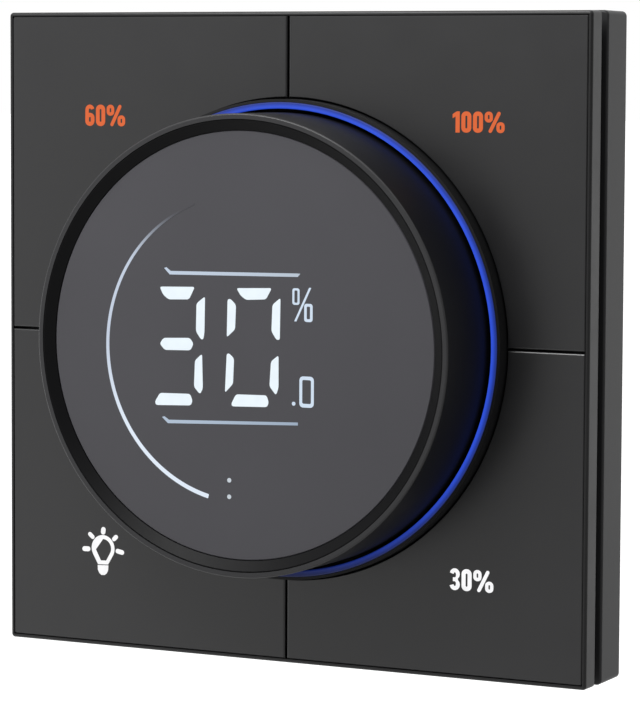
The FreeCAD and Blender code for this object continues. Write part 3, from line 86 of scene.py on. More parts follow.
class Nodes:
    """A node tree that grows node by node, from socket to socket."""

    def __init__(self, tree: bpy.types.NodeTree, coordinates: str = "Object") -> None:
        """Takes the tree and adds its source of coordinates.

        Args:
            tree: The tree.
            coordinates: The source's output that is read.
        """
        self.tree = tree
        self.place = self.add("ShaderNodeTexCoord").outputs[coordinates]

    def add(self, kind: str, values: dict[str, object] | None = None,
            **settings: object) -> bpy.types.Node:
        """Adds a node.

        Args:
            kind: The node's type.
            values: Values for its sockets, by socket name.
            settings: Values for its own properties.

        Returns:
            The node.
        """
        node = self.tree.nodes.new(kind)
        for name, value in settings.items():
            setattr(node, name, value)
        for name, value in (values or {}).items():
            node.inputs[name].default_value = value
        return node

    def link(self, source: Socket, target: Socket) -> None:
        """Joins an output to an input."""
        self.tree.links.new(source, target)

    def span(self, source: Socket, values: Span, edges: Span = (0.0, 1.0)) -> Socket:
        """Maps one span onto another in a straight line.

        Args:
            source: The position along the span.
            values: What the ends become.
            edges: Where the span starts and ends.

        Returns:
            The mapped value.
        """
        ranged = self.add("ShaderNodeMapRange", {
            "From Min": edges[0], "From Max": edges[1], "To Min": values[0], "To Max": values[1]})
        self.link(source, ranged.inputs["Value"])
        return ranged.outputs["Result"]

    def step(self, source: Socket, edges: Span, values: Span = (0.0, 1.0)) -> Socket:
        """Passes smoothly from one value to another.

        Args:
            source: The position along the step.
            edges: Where the step starts and ends.
            values: What it gives before and after.

        Returns:
            The stepped value.
        """
        step = self.add("ShaderNodeMapRange", {
            "From Min": edges[0], "From Max": edges[1], "To Min": values[0], "To Max": values[1]},
            interpolation_type="SMOOTHSTEP")
        self.link(source, step.inputs["Value"])
        return step.outputs["Result"]

    def combine(self, operation: str, first: Socket, second: Socket) -> Socket:
        """Adds or multiplies two values.

        Args:
            operation: The Math node's operation.
            first: One value.
            second: The other value.

        Returns:
            The result.
        """
        node = self.add("ShaderNodeMath", operation=operation)
        self.link(first, node.inputs[0])
        self.link(second, node.inputs[1])
        return node.outputs["Value"]

    def vector(self, operation: str, source: Socket,
               other: Direction = (0.0, 0.0, 0.0)) -> bpy.types.Node:
        """Works on a vector.

        Args:
            operation: The Vector Math node's operation.
            source: The vector.
            other: The second vector, where the operation has one.

        Returns:
            The node.
        """
        node = self.add("ShaderNodeVectorMath", operation=operation)
        self.link(source, node.inputs[0])
        node.inputs[1].default_value = other
        return node

    def along(self, source: Socket, towards: Direction) -> Socket:
        """Measures a vector along a direction."""
        return self.vector("DOT_PRODUCT", source, Vector(towards).normalized()).outputs["Value"]

    def length(self, source: Socket) -> Socket:
        """Measures a vector's length."""
        return self.vector("LENGTH", source).outputs["Value"]


class Graph(Nodes):
    """One material's nodes, grown from its Principled shader."""

    def __init__(self, name: str) -> None:
        """Starts a material.

        Args:
            name: The material's name.
        """
        self.material = bpy.data.materials.new(name)
        self.material.use_nodes = True
        super().__init__(self.material.node_tree)
        self.shader = self.tree.nodes["Principled BSDF"]

    def set(self, **values: object) -> None:
        """Sets the shader's sockets, each named with underscores for spaces."""
        for name, value in values.items():
            self.shader.inputs[name.replace("_", " ")].default_value = value

    def feed(self, **sources: Socket) -> None:
        """Links to the shader's sockets, each named with underscores for spaces."""
        for name, source in sources.items():
            self.link(source, self.shader.inputs[name.replace("_", " ")])

    def flat(self) -> Socket:
        """Gives the place in the wall's plane, from the knob's axis."""
        return self.vector("MULTIPLY", self.place, (1.0, 0.0, 1.0)).outputs["Vector"]

    def noise(self, size: float, detail: float = 3.0,
              stretch: Direction = (1.0, 1.0, 1.0)) -> Socket:
        """Adds noise over the object's own coordinates.

        Args:
            size: Width of its features in millimetres.
            detail: Number of finer octaves.
            stretch: Scale along each axis, which draws the features out where it is small.

        Returns:
            The noise, from 0 to 1.
        """
        mapping = self.add("ShaderNodeMapping", {"Scale": stretch})
        self.link(self.place, mapping.inputs["Vector"])
        noise = self.add("ShaderNodeTexNoise", {"Scale": 1.0 / (size * MM), "Detail": detail})
        self.link(mapping.outputs["Vector"], noise.inputs["Vector"])
        return noise.outputs["Fac"]

    def tones(self, source: Socket, low: Colour, high: Colour, start: float = 0.3,
              end: float = 0.7) -> Socket:
        """Turns a value into a blend of two colours.

        Args:
            source: The value.
            low: The colour at and below start.
            high: The colour at and above end.
            start: Where the blend starts.
            end: Where the blend ends.

        Returns:
            The colour.
        """
        ramp = self.add("ShaderNodeValToRGB")
        ramp.color_ramp.elements[0].position = start
        ramp.color_ramp.elements[0].color = (*low, 1.0)
        ramp.color_ramp.elements[1].position = end
        ramp.color_ramp.elements[1].color = (*high, 1.0)
        self.link(source, ramp.inputs["Fac"])
        return ramp.outputs["Color"]

    def emboss(self, source: Socket, depth: float, strength: float) -> None:
        """Presses a value into the surface as relief.

        Args:
            source: The height.
            depth: Height of the relief in millimetres.
            strength: How much of it shows.
        """
        bump = self.add("ShaderNodeBump", {"Strength": strength, "Distance": depth * MM})
        self.link(source, bump.inputs["Height"])
        self.feed(Normal=bump.outputs["Normal"])

    def mould(self, grain: Grain) -> None:
        """Presses a mould's texture into the surface."""
        self.emboss(self.noise(grain.size, detail=2.0), grain.depth, grain.strength)


def shade(tone: Colour, factor: float) -> Colour:
    """Makes a colour lighter or darker by a factor."""
    return (tone[0] * factor, tone[1] * factor, tone[2] * factor)


@dataclass(frozen=True)
class Finish(ABC):
    """A finish, which makes its own material."""

    name: str

    @abstractmethod
    def grow(self, graph: Graph) -> None:
        """Grows the material's nodes.

        Args:
            graph: The nodes so far.
        """

    def build(self) -> bpy.types.Material:
        """Makes the material.

        Returns:
            The material.
        """
        graph = Graph(self.name)
        self.grow(graph)
        return graph.material


@dataclass(frozen=True)
class Moulded(Finish):
    """Moulded plastic: a fine grain from the mould and faint tones from the flow."""

    tone: Colour
    roughness: float = 0.45
    grain: Grain = Grain.SATIN
    gloss: float = 0.5
    glow: float = 0.0
    glow_depth: float = 1.0
    drift: float = 0.06
    flow_size: float = 14.0
    wear: float = 0.04
    wear_size: float = 5.0

    def grow(self, graph: Graph) -> None:
        """Grows flow tones, uneven gloss and the mould's grain.

        Args:
            graph: The nodes so far.
        """
        flow = graph.noise(self.flow_size, detail=4.0)
        wear = graph.noise(self.wear_size, detail=5.0)
        graph.feed(
            Base_Color=graph.tones(flow, shade(self.tone, 1 - self.drift),
                                   shade(self.tone, 1 + self.drift)),
            Roughness=graph.span(wear, (self.roughness - self.wear, self.roughness + self.wear)))
        graph.set(Specular_IOR_Level=self.gloss, Subsurface_Weight=self.glow,
                  Subsurface_Radius=(self.glow_depth * MM,) * 3)
        graph.mould(self.grain)


@dataclass(frozen=True)
class Collared(Finish):
    """Moulded plastic that is rougher, and painted darker as shade, in a ring round the knob."""

    tone: Colour
    painted_collar_shade: Colour
    edges: Span
    roughness: Span = (0.6, 0.42)
    gloss: float = 0.25

    def grow(self, graph: Graph) -> None:
        """Grows the painted shade and the change of roughness between the two radii, in
        millimetres.

        Args:
            graph: The nodes so far.
        """
        radius = graph.length(graph.flat())
        edges = (self.edges[0] * MM, self.edges[1] * MM)
        outside = graph.step(radius, edges)
        # Painted shade: the tone is darker inside the radii, where the knob shades the frame.
        graph.feed(Base_Color=graph.tones(outside, self.painted_collar_shade, self.tone, 0.0, 1.0),
                   Roughness=graph.step(radius, edges, self.roughness))
        graph.set(Specular_IOR_Level=self.gloss)
        graph.mould(Grain.SPARKED)


@dataclass(frozen=True)
class Rimmed(Finish):
    """Satin plastic whose front, in front of a height, is painted another tone than its wall, as
    painted light: a painted highlight on the knob and a painted shade on the trim.
    """

    wall: Colour
    painted_rim_tone: Colour
    rim_height: float
    roughness: Span = (0.5, 0.26)
    gloss: float = 0.24
    blend: float = 0.12
    wear: float = 0.12
    wear_size: float = 5.0

    def grow(self, graph: Graph) -> None:
        """Grows the painted tone in front of the set height, in millimetres, and uneven gloss.

        Args:
            graph: The nodes so far.
        """
        height = graph.along(graph.place, OUTWARD)
        edges = ((self.rim_height - self.blend) * MM, self.rim_height * MM)
        front = graph.step(height, edges)
        cloud = graph.noise(self.wear_size, detail=5.0)
        wear = graph.combine("MULTIPLY", cloud, graph.span(cloud, (0.0, self.wear)))
        rough = graph.step(height, edges, self.roughness)
        # Painted light: in front of the height the tone is painted, lighter as a highlight on the
        # knob, darker as shade on the trim.
        graph.feed(Base_Color=graph.tones(front, self.wall, self.painted_rim_tone, 0.0, 1.0),
                   Roughness=graph.combine("ADD", rough, wear))
        graph.set(Specular_IOR_Level=self.gloss)
        graph.mould(Grain.SATIN)


@dataclass(frozen=True)
class PrintedGlass(Finish):
    """Dark glass printed on its back, with an anti-glare front."""

    tone: Colour
    roughness: float
    haze: float = 0.04
    haze_size: float = 22.0
    wipe: float = 0.03
    wipe_size: float = 6.0
    wipe_stretch: Direction = (1.0, 1.0, 0.35)
    frost_size: float = 0.08
    frost_depth: float = 0.0008

    def grow(self, graph: Graph) -> None:
        """Grows a faint haze, wipe marks and the frosting of the front.

        Args:
            graph: The nodes so far.
        """
        haze = graph.noise(self.haze_size, detail=3.0)
        wipe = graph.noise(self.wipe_size, 4.0, self.wipe_stretch)
        graph.feed(
            Base_Color=graph.tones(haze, shade(self.tone, 1 - self.haze),
                                   shade(self.tone, 1 + self.haze)),
            Roughness=graph.span(wipe, (self.roughness - self.wipe, self.roughness + self.wipe)))
        graph.set(Specular_IOR_Level=0.36, Coat_Weight=0.1, Coat_Roughness=0.12)
        graph.emboss(graph.noise(self.frost_size, detail=1.0), self.frost_depth, 0.4)


@dataclass(frozen=True)
class Lit(Finish):
    """A lit colour: ink over a lamp or display segments."""

    tone: Colour
    base: Colour = (0.06, 0.06, 0.065)
    uneven: float = 0.12
    patch_size: float = 1.5

    def grow(self, graph: Graph) -> None:
        """Grows a slightly uneven light over a dark base.

        Args:
            graph: The nodes so far.
        """
        cloud = graph.noise(self.patch_size, detail=2.0)
        graph.feed(Emission_Color=graph.tones(cloud, shade(self.tone, 1 - self.uneven), self.tone),
                   Base_Color=graph.tones(cloud, shade(self.base, 0.9), self.base))
        graph.set(Roughness=0.4, Specular_IOR_Level=0.2, Emission_Strength=1.0)


@dataclass(frozen=True)
class LitFade(Finish):
    """A lit line that dims along an axis of the object, and may go out further along it."""

    bright: Colour
    dim: Colour
    axis: str
    reach: Span
    fade: Span = (100.0, 120.0)
    base: tuple[Colour, Colour] = ((0.05, 0.049, 0.055), (0.052, 0.051, 0.058))

    def grow(self, graph: Graph) -> None:
        """Grows the dimming over its reach and the fade after it, both in millimetres.

        Args:
            graph: The nodes so far.
        """
        split = graph.add("ShaderNodeSeparateXYZ")
        graph.link(graph.place, split.inputs["Vector"])
        along = split.outputs[self.axis]
        dimming = graph.span(along, (0.0, 1.0), (self.reach[0] * MM, self.reach[1] * MM))
        fade = graph.step(along, (self.fade[0] * MM, self.fade[1] * MM), (1.0, 0.0))
        lit = graph.vector("SCALE", graph.tones(dimming, self.bright, self.dim, 0.0, 1.0))
        graph.link(fade, lit.inputs["Scale"])
        graph.feed(Emission_Color=lit.outputs["Vector"],
                   Base_Color=graph.tones(dimming, *self.base, 0.0, 1.0))
        graph.set(Roughness=0.34, Specular_IOR_Level=0.36, Emission_Strength=1.0)


@dataclass(frozen=True)
class RingGuide(Finish):
    """The ring's light guide: it glows at its front, brightest at its inner edge and one side."""

    tone: Colour
    inner: float
    outer: float
    front: float
    skin: Span = (0.2, 0.1)
    edge_glow: float = 0.22
    towards: Direction = (0.84, 0.0, 0.54)
    turn: Span = (-0.6, 0.75)
    far_glow: float = 0.05
    uneven: float = 0.15
    patch_size: float = 4.0

    def grow(self, graph: Graph) -> None:
        """Grows the glow across the guide, at its front skin and round the ring.

        Args:
            graph: The nodes so far.
        """
        flat = graph.flat()
        across = graph.step(graph.length(flat), (self.inner * MM, self.outer * MM),
                            (1.0, self.edge_glow))
        top = graph.step(graph.along(graph.place, OUTWARD),
                         ((self.front - self.skin[0]) * MM, (self.front - self.skin[1]) * MM))
        side = graph.step(graph.along(flat, self.towards),
                          (self.turn[0] * self.inner * MM, self.turn[1] * self.inner * MM),
                          (self.far_glow, 1.0))
        cloud = graph.noise(self.patch_size, detail=2.0)
        glow = graph.combine("MULTIPLY", across, top)
        glow = graph.combine("MULTIPLY", glow, side)
        glow = graph.combine("MULTIPLY", glow,
                             graph.span(cloud, (1 - self.uneven, 1 + self.uneven)))
        graph.feed(Emission_Color=graph.tones(glow, (0.0, 0.0, 0.0), self.tone, 0.0, 1.0),
                   Base_Color=graph.tones(cloud, (0.008, 0.012, 0.05), (0.01, 0.016, 0.07)))
        graph.set(Roughness=0.4, Specular_IOR_Level=0.25, Emission_Strength=1.0)


@dataclass(frozen=True)
class Plated(Finish):
    """Bare or plated metal with a rolled or brushed grain and cloudy plating."""

    tone: Colour
    roughness: float
    stretch: Direction = (1.0, 1.0, 0.06)
    brushing: float = 0.08
    grain_size: float = 0.25
    cloud_size: float = 9.0

    def grow(self, graph: Graph) -> None:
        """Grows cloudy tones and a grain that shows in gloss and relief.

        Args:
            graph: The nodes so far.
        """
        cloud = graph.noise(self.cloud_size, detail=5.0)
        grain = graph.noise(self.grain_size, 3.0, self.stretch)
        graph.feed(
            Base_Color=graph.tones(cloud, shade(self.tone, 0.88), self.tone),
            Roughness=graph.span(
                grain, (self.roughness - self.brushing, self.roughness + self.brushing)))
        graph.set(Metallic=1.0)
        graph.emboss(grain, 0.004, 0.5)


@dataclass(frozen=True)
class SolderMask(Finish):
    """A circuit board: green mask over raised copper tracks."""

    mask: Colour
    track: Colour
    pitch: float = 2.4

    def grow(self, graph: Graph) -> None:
        """Grows tracks between fields of mask, in the board's own plane.

        Args:
            graph: The nodes so far.
        """
        turn = graph.add("ShaderNodeMapping", {"Rotation": (math.pi / 2, 0.0, 0.0)})
        graph.link(graph.place, turn.inputs["Vector"])
        tracks = graph.add("ShaderNodeTexBrick", {
            "Scale": 1.0 / (self.pitch * MM), "Mortar Size": 0.07, "Mortar Smooth": 0.2,
            "Color1": (*self.mask, 1.0), "Color2": (*shade(self.mask, 1.15), 1.0),
            "Mortar": (*self.track, 1.0), "Brick Width": 1.7, "Row Height": 0.45})
        graph.link(turn.outputs["Vector"], tracks.inputs["Vector"])
        graph.feed(Base_Color=tracks.outputs["Color"])
        graph.set(Roughness=0.3, Coat_Weight=0.3, Coat_Roughness=0.15)
        graph.emboss(tracks.outputs["Fac"], 0.03, 0.4)


@dataclass(frozen=True)
class Sintered(Finish):
    """A pressed and fired core: dull, dark and finely pitted."""

    tone: Colour
    pit_size: float = 0.25

    def grow(self, graph: Graph) -> None:
        """Grows pits that show in tone and relief.

        Args:
            graph: The nodes so far.
        """
        pits = graph.add("ShaderNodeTexVoronoi", {"Scale": 1.0 / (self.pit_size * MM)})
        graph.link(graph.place, pits.inputs["Vector"])
        depth = pits.outputs["Distance"]
        graph.feed(Base_Color=graph.tones(depth, self.tone, shade(self.tone, 1.5), 0.1, 0.8))
        graph.set(Roughness=0.7)
        graph.emboss(depth, 0.02, 0.5)


@dataclass(frozen=True)
class Enamelled(Finish):
    """Wound wire: bright enamel with the fine lines of neighbouring strands."""

    tone: Colour
    strand_pitch: float = 3.0

    def grow(self, graph: Graph) -> None:
        """Grows strands that show in tone and relief.

        Args:
            graph: The nodes so far.
        """
        wave = graph.add("ShaderNodeTexWave", {
            "Scale": 1.0 / (self.strand_pitch * MM), "Distortion": 0.6, "Detail": 1.0},
            bands_direction="DIAGONAL")
        graph.link(graph.place, wave.inputs["Vector"])
        strands = wave.outputs["Fac"]
        graph.feed(Base_Color=graph.tones(strands, shade(self.tone, 0.6), self.tone, 0.1, 0.9))
        graph.set(Metallic=0.6, Roughness=0.3, Coat_Weight=0.6, Coat_Roughness=0.1)
        graph.emboss(strands, 0.05, 0.5)


@dataclass(frozen=True)
class PaleFloor(Finish):
    """The floor: grey at the front right, pale at the back left and faintly lit."""

    grey: Colour = (0.38, 0.38, 0.38)
    pale: Colour = (0.92, 0.92, 0.92)
    towards: Direction = (-0.86, 0.5, 0.0)
    edges: Span = (-0.15, 0.28)
    glow: float = 0.35

    def grow(self, graph: Graph) -> None:
        """Grows the change of tone over the floor, in metres.

        Args:
            graph: The nodes so far.
        """
        away = graph.step(graph.along(graph.place, self.towards), self.edges)
        tones = graph.tones(away, self.grey, self.pale, 0.0, 1.0)
        graph.feed(Base_Color=tones, Emission_Color=tones)
        graph.set(Roughness=0.9, Specular_IOR_Level=0.1, Emission_Strength=self.glow)


KEY_PLASTIC = Moulded("key plastic", (0.0075, 0.0075, 0.0082), 0.31, Grain.SPARKED, gloss=0.72)
# Painted shade: the trim's front lip is painted darker, as a shadow line along the keys' edges.
TRIM_PLASTIC = Rimmed("trim plastic", (0.014, 0.014, 0.0148), (0.003, 0.003, 0.0033), 10.78,
                      (0.38, 0.38), 0.46)
# Painted shade: darker within 32 to 33.4 mm of the knob's axis, where the knob's shadow falls.
FRAME_PLASTIC = Collared("frame plastic", (0.0205, 0.0205, 0.0215), (0.007, 0.007, 0.0076),
                         (32.0, 33.4))
# Painted highlight: the knob's front is painted lighter than its wall, for the light it catches.
KNOB_PLASTIC = Rimmed("knob plastic", (0.003, 0.003, 0.0033), (0.03, 0.03, 0.0315), 24.8)
BEZEL_PLASTIC = Moulded("bezel plastic", (0.0045, 0.0045, 0.0049), 0.4, Grain.POLISHED, gloss=0.08)
LENS_GLASS = PrintedGlass("display glass", (0.0505, 0.0495, 0.056), 0.34)
BLUE_GUIDE = RingGuide("blue light guide", (0.027, 0.08, 0.66), 30.5, 31.3, 13.2)
BLACK_PART = Moulded("black component plastic", (0.02, 0.02, 0.021), 0.42)
ACETAL = Moulded("acetal", (0.72, 0.71, 0.67), 0.35, glow=0.2)
ICON_GUIDE = Moulded("icon light guide", (0.8, 0.8, 0.8), 0.25, Grain.POLISHED, glow=0.4)
HOUSING_PLASTIC = Moulded("housing plastic", (0.55, 0.55, 0.53), 0.5, Grain.SPARKED)
TERMINAL_PLASTIC = Moulded("terminal plastic", (0.04, 0.14, 0.09), 0.42, Grain.SPARKED)
CAN_SLEEVE = Moulded("capacitor sleeve", (0.02, 0.035, 0.11), 0.22, Grain.POLISHED)
FILM_CASE = Moulded("film capacitor case", (0.62, 0.45, 0.05), 0.3, Grain.POLISHED)
LAMP_CASE = Moulded("lamp package", (0.75, 0.72, 0.5), 0.3, Grain.POLISHED, glow=0.3)
STEEL = Plated("zinc-plated steel", (0.62, 0.63, 0.65), 0.34)
BRASS = Plated("brass", (0.72, 0.53, 0.24), 0.3)
ALUMINIUM = Plated("aluminium", (0.72, 0.73, 0.74), 0.36, (0.06, 1.0, 1.0))
BOARD = SolderMask("solder mask", (0.01, 0.075, 0.03), (0.025, 0.16, 0.06))
FERRITE = Sintered("ferrite", (0.03, 0.03, 0.032))
WINDING = Enamelled("enamelled wire", (0.55, 0.24, 0.08))
FLOOR = PaleFloor("pale floor")
DIGIT_LIGHT = Lit("digit light", (0.79, 0.88, 0.94), uneven=0.04)
SIGN_LIGHT = Lit("small sign light", (0.58, 0.69, 0.82), uneven=0.06)
COLON_LIGHT = Lit("colon light", (0.52, 0.58, 0.63))
UPPER_RULE_LIGHT = LitFade("upper rule light", (0.47, 0.56, 0.68), (0.41, 0.48, 0.56), "X",
                           (-11.0, 9.0))
LOWER_RULE_LIGHT = LitFade("lower rule light", (0.37, 0.46, 0.57), (0.26, 0.34, 0.44), "X",
                           (-11.0, 9.0))
ARC_LIGHT = LitFade("arc light", (0.68, 0.76, 0.86), (0.48, 0.55, 0.66), "Z", (-11.0, 0.0),
                    (10.0, 17.5))
ORANGE_INK = Lit("orange key mark", (0.66, 0.12, 0.033), (0.08, 0.018, 0.006), 0.06)
WHITE_INK = Lit("white key mark", (0.97, 0.97, 0.98))

CORNERS = ("upper_right", "upper_left", "lower_left", "lower_right")
DRESS: dict[Finish, list[str]] = {
    KEY_PLASTIC: [f"key_{corner}" for corner in CORNERS],
    TRIM_PLASTIC: ["trim_frame"],
    FRAME_PLASTIC: ["rear_frame"],
    KNOB_PLASTIC: ["knob_ring"],
    BEZEL_PLASTIC: ["display_housing"],
    LENS_GLASS: ["display_lens"],
    BLUE_GUIDE: ["light_ring"],
    BLACK_PART: ["display_module", "encoder_body", "display_header", "link_header", "link_socket",
                 "key_switches", "triac", "transformer_bobbin", "fuse"],
    ACETAL: ["gear_ring", "encoder_pinion", "thrust_washer"]
            + [f"switch_plunger_{corner}" for corner in CORNERS],
    ICON_GUIDE: [f"icon_guide_{corner}" for corner in CORNERS],
    HOUSING_PLASTIC: ["back_housing", "housing_cover"],
    TERMINAL_PLASTIC: ["terminal_block"],
    CAN_SLEEVE: ["bulk_capacitor"],
    FILM_CASE: ["film_capacitor"],
    LAMP_CASE: ["icon_lamps", "ring_lamps"],
    STEEL: ["mounting_strap", "radio_shield", "display_screws", "board_screws", "housing_screws",
            "terminal_screws", "encoder_shaft"],
    BRASS: ["terminal_clamps"],
    ALUMINIUM: ["heat_plate"],
    BOARD: ["display_board", "control_board", "radio_module", "power_board"],
    FERRITE: ["transformer_core", "choke_core"],
    WINDING: ["choke_winding"],
}


def dress(piece: bpy.types.Object, material: bpy.types.Material) -> None:
    """Gives a piece one material all over.

    Args:
        piece: The piece.
        material: Its material.
    """
    if not piece.material_slots:
        piece.data.materials.append(material)
    for holder in piece.material_slots:
        holder.material = material


def dress_nodes() -> None:
    """Gives every node of the frame its finish."""
    for finish, names in DRESS.items():
        material = finish.build()
        for name in names:
            dress(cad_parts[name], material)
        LOG.info("%s dresses %s", finish.name, ", ".join(names))


def only(piece: bpy.types.Object) -> None:
    """Makes a piece the only one selected, and the active one.

    Args:
        piece: The piece.
    """
    bpy.ops.object.select_all(action="DESELECT")
    piece.select_set(True)
    bpy.context.view_layer.objects.active = piece


def stroke(path: Outline, width: float, steps: int = 6) -> list[Point]:
    """Outlines a straight stroke of a pen with a round tip.

    Args:
        path: The stroke's two ends.
        width: The tip's width.
        steps: Number of edges round each end.

    Returns:
        The closed outline.
    """
    (ax, az), (bx, bz) = path
    lean = math.atan2(bz - az, bx - ax)
    points = []
    for (x, z), start in (((bx, bz), lean - math.pi / 2), ((ax, az), lean + math.pi / 2)):
        for step in range(steps + 1):
            angle = start + math.pi * step / steps
            points.append((x + width / 2 * math.cos(angle), z + width / 2 * math.sin(angle)))
    return points


def rounded(left: float, low: float, right: float, high: float, radius: float,
            steps: int = 4) -> list[Point]:
    """Outlines a rectangle with rounded corners.

    Args:
        left: Its left side.
        low: Its lower side.
        right: Its right side.
        high: Its upper side.
        radius: Radius of its corners.
        steps: Number of edges round each corner.

    Returns:
        The closed outline.
    """
    corners = ((right - radius, high - radius, 0), (left + radius, high - radius, 1),
               (left + radius, low + radius, 2), (right - radius, low + radius, 3))
    points = []
    for x, z, quarter in corners:
        for step in range(steps + 1):
            angle = math.pi / 2 * (quarter + step / steps)
            points.append((x + radius * math.cos(angle), z + radius * math.sin(angle)))
    return points


def soften(corners: Outline, radius: float = 0.34, steps: int = 4) -> list[Point]:
    """Rounds the corners of an outline, with a curve that starts before each and ends after it.

    Args:
        corners: Its sharp corners in order.
        radius: How far from a corner the rounding starts, at most 0.4 of the side.
        steps: Number of edges round each corner.

    Returns:
        The outline with rounded corners.
    """
    points = []
    for index, corner in enumerate(corners):
        here = Vector(corner)
        ends = []
        for other in (corners[index - 1], corners[(index + 1) % len(corners)]):
            side = Vector(other) - here
            ends.append(here + side.normalized() * min(radius, side.length * 0.4))
        for step in range(steps + 1):
            share = step / steps
            place = (ends[0] * (1 - share) ** 2 + here * 2 * share * (1 - share)
                     + ends[1] * share ** 2)
            points.append((place.x, place.y))
    return points


def disc(x: float, z: float, radius: float, steps: int = 16) -> list[Point]:
    """Outlines a dot.

    Args:
        x: Its middle.
        z: Its middle.
        radius: Its radius.
        steps: Number of edges.

    Returns:
        The closed outline.
    """
    turns = [2 * math.pi * step / steps for step in range(steps)]
    return [(x + radius * math.cos(turn), z + radius * math.sin(turn)) for turn in turns]


def bow(x: float, z: float, across: float, up: float, start: float, end: float,
        steps: int = 10) -> list[Point]:
    """Follows part of an ellipse.

    Args:
        x: Its middle.
        z: Its middle.
        across: Its half width.
        up: Its half height.
        start: Angle of the first point, in degrees.
        end: Angle of the last point.
        steps: Number of edges.

    Returns:
        The points in order.
    """
    turns = [math.radians(start + (end - start) * step / steps) for step in range(steps + 1)]
    return [(x + across * math.cos(turn), z + up * math.sin(turn)) for turn in turns]


@dataclass
class Figures:
    """Rounded condensed figures, drawn with a thick pen in a cell of one height."""

    height: float = 2.9
    digit: float = 1.4
    one: float = 1.0
    percent: float = 2.8
    gap: float = 0.24

    def zero(self) -> list[Outline]:
        """Outlines a nought."""
        return [rounded(0.0, 0.0, self.digit, self.height, 0.66, 6),
                rounded(0.56, 0.58, 0.84, 2.32, 0.13)]

    def unit(self) -> list[Outline]:
        """Outlines a one with its flag."""
        return [[(0.42, 0.0), (self.one, 0.0), (self.one, self.height), (0.6, self.height),
                 (0.0, 2.52), (0.0, 1.96), (0.42, 2.2)]]

    def three(self) -> list[Outline]:
        """Outlines a three as one line that runs out and back."""
        return [bow(0.68, 2.16, 0.7, 0.74, 168, -52) + bow(0.68, 0.76, 0.72, 0.76, 52, -168)
                + bow(0.68, 0.86, 0.18, 0.32, -165, 88) + [(0.42, 1.18), (0.42, 1.7)]
                + bow(0.68, 2.04, 0.18, 0.34, -88, 165)]

    def six(self) -> list[Outline]:
        """Outlines a six and its eye."""
        return [bow(0.7, 2.2, 0.68, 0.7, 14, 180) + bow(0.7, 0.7, 0.7, 0.7, 180, 360)
                + bow(0.7, 1.12, 0.7, 0.66, 0, 90) + [(0.52, 1.78)]
                + bow(0.7, 2.16, 0.18, 0.22, 180, 14),
                rounded(0.56, 0.56, 0.84, 1.22, 0.13)]

    def per_cent(self) -> list[Outline]:
        """Outlines a per cent sign."""
        return [rounded(0.0, 1.42, 1.14, self.height, 0.54, 6),
                rounded(0.45, 1.87, 0.69, 2.45, 0.11),
                rounded(1.66, 0.0, self.percent, 1.48, 0.54, 6),
                rounded(2.11, 0.45, 2.35, 1.03, 0.11),
                stroke([(0.8, 0.24), (2.0, 2.66)], 0.48)]

    def write(self, text: str, box: Box) -> list[Outline]:
        """Sets figures in a row that fills a box.

        Args:
            text: The figures.
            box: Left, low, right and high in millimetres.

        Returns:
            The closed outlines.
        """
        shapes = {"0": (self.zero, self.digit), "1": (self.unit, self.one),
                  "3": (self.three, self.digit), "6": (self.six, self.digit),
                  "%": (self.per_cent, self.percent)}
        widths = [shapes[figure][1] for figure in text]
        total = sum(widths) + self.gap * (len(text) - 1)
        left, low, right, high = box
        across, up = (right - left) / total, (high - low) / self.height
        outlines, start = [], 0.0
        for figure, width in zip(text, widths):
            for shape in shapes[figure][0]():
                outlines.append([(left + (start + x) * across, low + z * up) for x, z in shape])
            start += width + self.gap
        return outlines


@dataclass
class Print:
    """Thin lit marks that stand on a flat front face."""

    height: float
    thickness: float = 0.03

    def place(self, piece: bpy.types.Object, body: str, slot: str,
              material: bpy.types.Material) -> None:
        """Makes a flat curve a mesh, stands it up on its face and gives it its finish.

        Args:
            piece: The flat curve, drawn in X and Y.
            body: The body it rides on.
            slot: Not used.
            material: Its material.
        """
        only(piece)
        bpy.ops.object.convert(target="MESH")
        piece = bpy.context.view_layer.objects.active
        piece.rotation_euler = (math.pi / 2, 0.0, 0.0)
        piece.location.y = -(self.height + self.thickness / 2) * MM
        bpy.ops.object.transform_apply(location=True, rotation=True, scale=True)
        dress(piece, material)
        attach(piece, body)
        LOG.info("%s rides on %s", piece.name, body)

    def outlines(self, name: str, shapes: Sequence[Outline], body: str, slot: str,
                 material: bpy.types.Material) -> None:
        """Draws a mark from closed outlines in millimetres, an inner one being a hole.

        Args:
            name: The mark's name.
            shapes: The outlines.
            body: The body it rides on.
            slot: Not used.
            material: Its material.
        """
        curve = bpy.data.curves.new(name, "CURVE")
        curve.dimensions = "2D"
        curve.fill_mode = "BOTH"
        curve.extrude = self.thickness / 2 * MM
        for shape in shapes:
            spline = curve.splines.new("POLY")
            spline.points.add(len(shape) - 1)
            for point, (x, z) in zip(spline.points, shape):
                point.co = (x * MM, z * MM, 0.0, 1.0)
            spline.use_cyclic_u = True
        piece = bpy.data.objects.new(name, curve)
        bpy.context.scene.collection.objects.link(piece)
        self.place(piece, body, slot, material)


